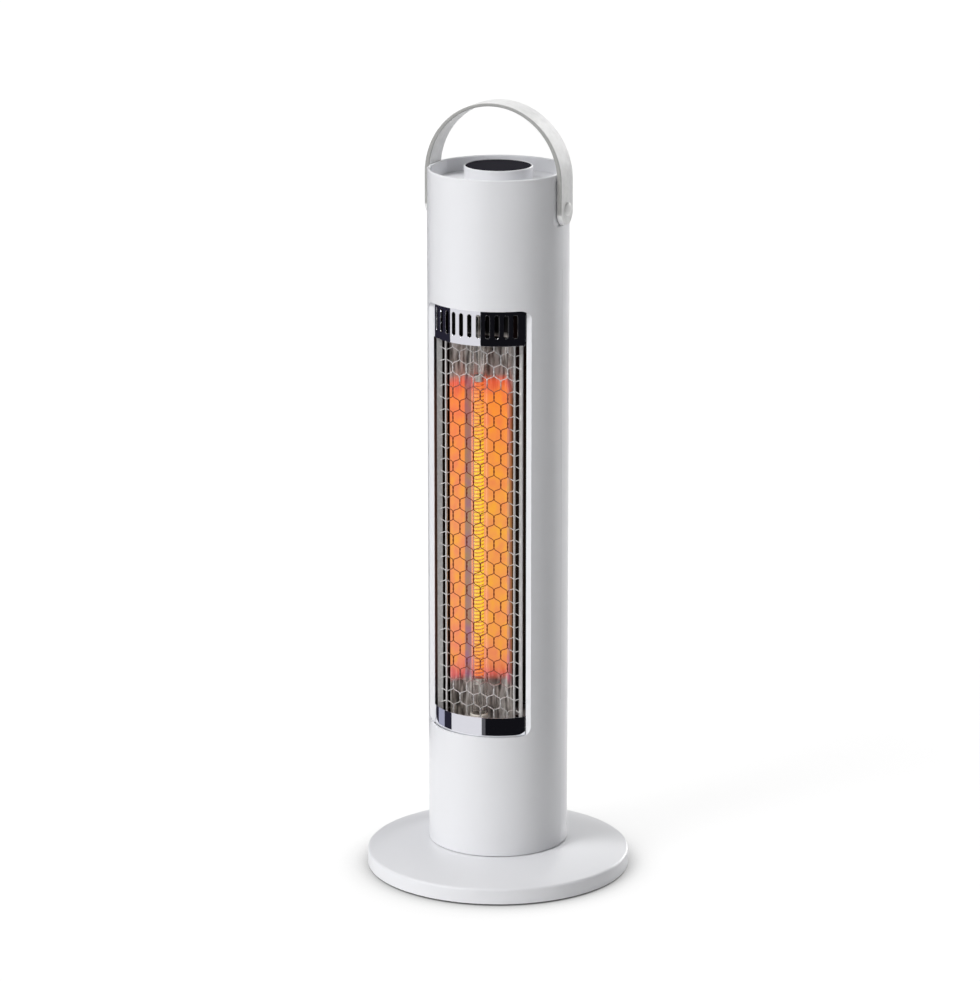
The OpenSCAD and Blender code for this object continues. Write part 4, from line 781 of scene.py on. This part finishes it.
ledge_radius = BAND_RADIUS - BAND_THICKNESS / 2
turns = np.linspace(-half_arc, half_arc, LEDGE_POINTS) * LEDGE_SHARE / ledge_radius
front = ledge_radius * np.stack([np.sin(turns), -np.cos(turns)], -1)
back = np.array([[front[-1, 0], -LEDGE_BACK], [front[0, 0], -LEDGE_BACK]])
ledge_z = low.z + LEDGE_RISE
points, faces = upright_bar(np.concatenate([front, back]), ledge_z, ledge_z + LEDGE_THICKNESS)
ledge = mesh_object("band_ledge", points, faces, smooth=False)
ledge.data.materials.append(polish)
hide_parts("head_band")
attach(ledge, "column")

low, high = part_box("sill_band")
arcs = np.linspace(-half_arc, half_arc, 121)
levels = np.linspace(low.z, high.z, 4)
grid = on_band(arcs[None, :] + 0 * levels[:, None], levels[:, None])
sill = welded("plain_band", [(grid, grid_faces(*grid.shape[:2]))])
thicken(sill)
sill.data.materials.append(polish)
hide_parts("sill_band")
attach(sill, "column")

# Column housing
# The white tube round the lamp, of the same ABS as the base. Inside a radius of 61.7 mm it is painted
# dark grey, a painted shade that shows as a thin dark line in the window's jambs.
JAMB_SHADE_RADIUS = 61.7 * MM
JAMB_SHADE_EDGE = 0.5 * MM
PAINTED_JAMB_SHADE = (0.10, 0.10, 0.11)
housing = finish(
    "housing shell", SHELL_COLOR, SHELL_ROUGHNESS, grain=900, depth=0.00001, mottle=0.008
)
tree, shader = workings(housing)
where = tree.nodes.new("ShaderNodeTexCoord")
flat = tree.nodes.new("ShaderNodeVectorMath")
flat.operation = "MULTIPLY"
flat.inputs[1].default_value = (1, 1, 0)
length = tree.nodes.new("ShaderNodeVectorMath")
length.operation = "LENGTH"
tree.links.new(where.outputs["Object"], flat.inputs[0])
tree.links.new(flat.outputs["Vector"], length.inputs[0])
# Painted shade: dark grey inside the radius, white outside it
outside = color_along(tree, length.outputs["Value"], [
    (JAMB_SHADE_RADIUS - JAMB_SHADE_EDGE, (0, 0, 0)), (JAMB_SHADE_RADIUS, (1, 1, 1)),
])
white = shader.inputs["Base Color"].links[0].from_socket
tree.links.new(blend_colors(tree, outside, PAINTED_JAMB_SHADE, white), shader.inputs["Base Color"])
dress(housing, "column_housing")

# Touch panel
# A disc of black glass-like acrylic on the pedestal. The camera looks across it, so it shows nearly
# black with only a dull sheen.
panel = finish(
    "panel gloss", (0.017, 0.016, 0.022), 0.35, grain=60, depth=0.00001, mottle=0.10, specular=0.0005
)
dress(panel, "control_panel")

# Handle, rivets and washers
# One thick strap of silver-white plastic bent over the top, with a mottled pearly coat; its long edges
# are painted darker, a painted shade. It swings on two domed rivets of the same colour, over an acetal
# washer on each side.
UNSHADED_HALF_WIDTH = 11.9 * MM
STRAP_HALF = 12.5 * MM
PAINTED_EDGE_SHADE = (0.42, 0.42, 0.41)
silver = finish("silver strap", (0.90, 0.90, 0.89), 0.42, grain=160, depth=0.00003, mottle=0.16)
tree, shader = workings(silver)
pearl = shader.inputs["Base Color"].links[0].from_socket
# Painted shade: the colour darkens over the last 0.6 mm at each long edge of the strap
edges = color_along(tree, coordinate(tree, "Y"), [
    (-STRAP_HALF, PAINTED_EDGE_SHADE), (-UNSHADED_HALF_WIDTH, (1, 1, 1)), (UNSHADED_HALF_WIDTH, (1, 1, 1)), (STRAP_HALF, PAINTED_EDGE_SHADE),
])
tree.links.new(product(tree, pearl, edges), shader.inputs["Base Color"])
dress(silver, "handle")
pearly = finish("silver rivets", (0.95, 0.95, 0.94), 0.40, grain=260, depth=0.00002, mottle=0.06)
dress(pearly, "handle_rivets")
dress(acetal, "handle_washers")
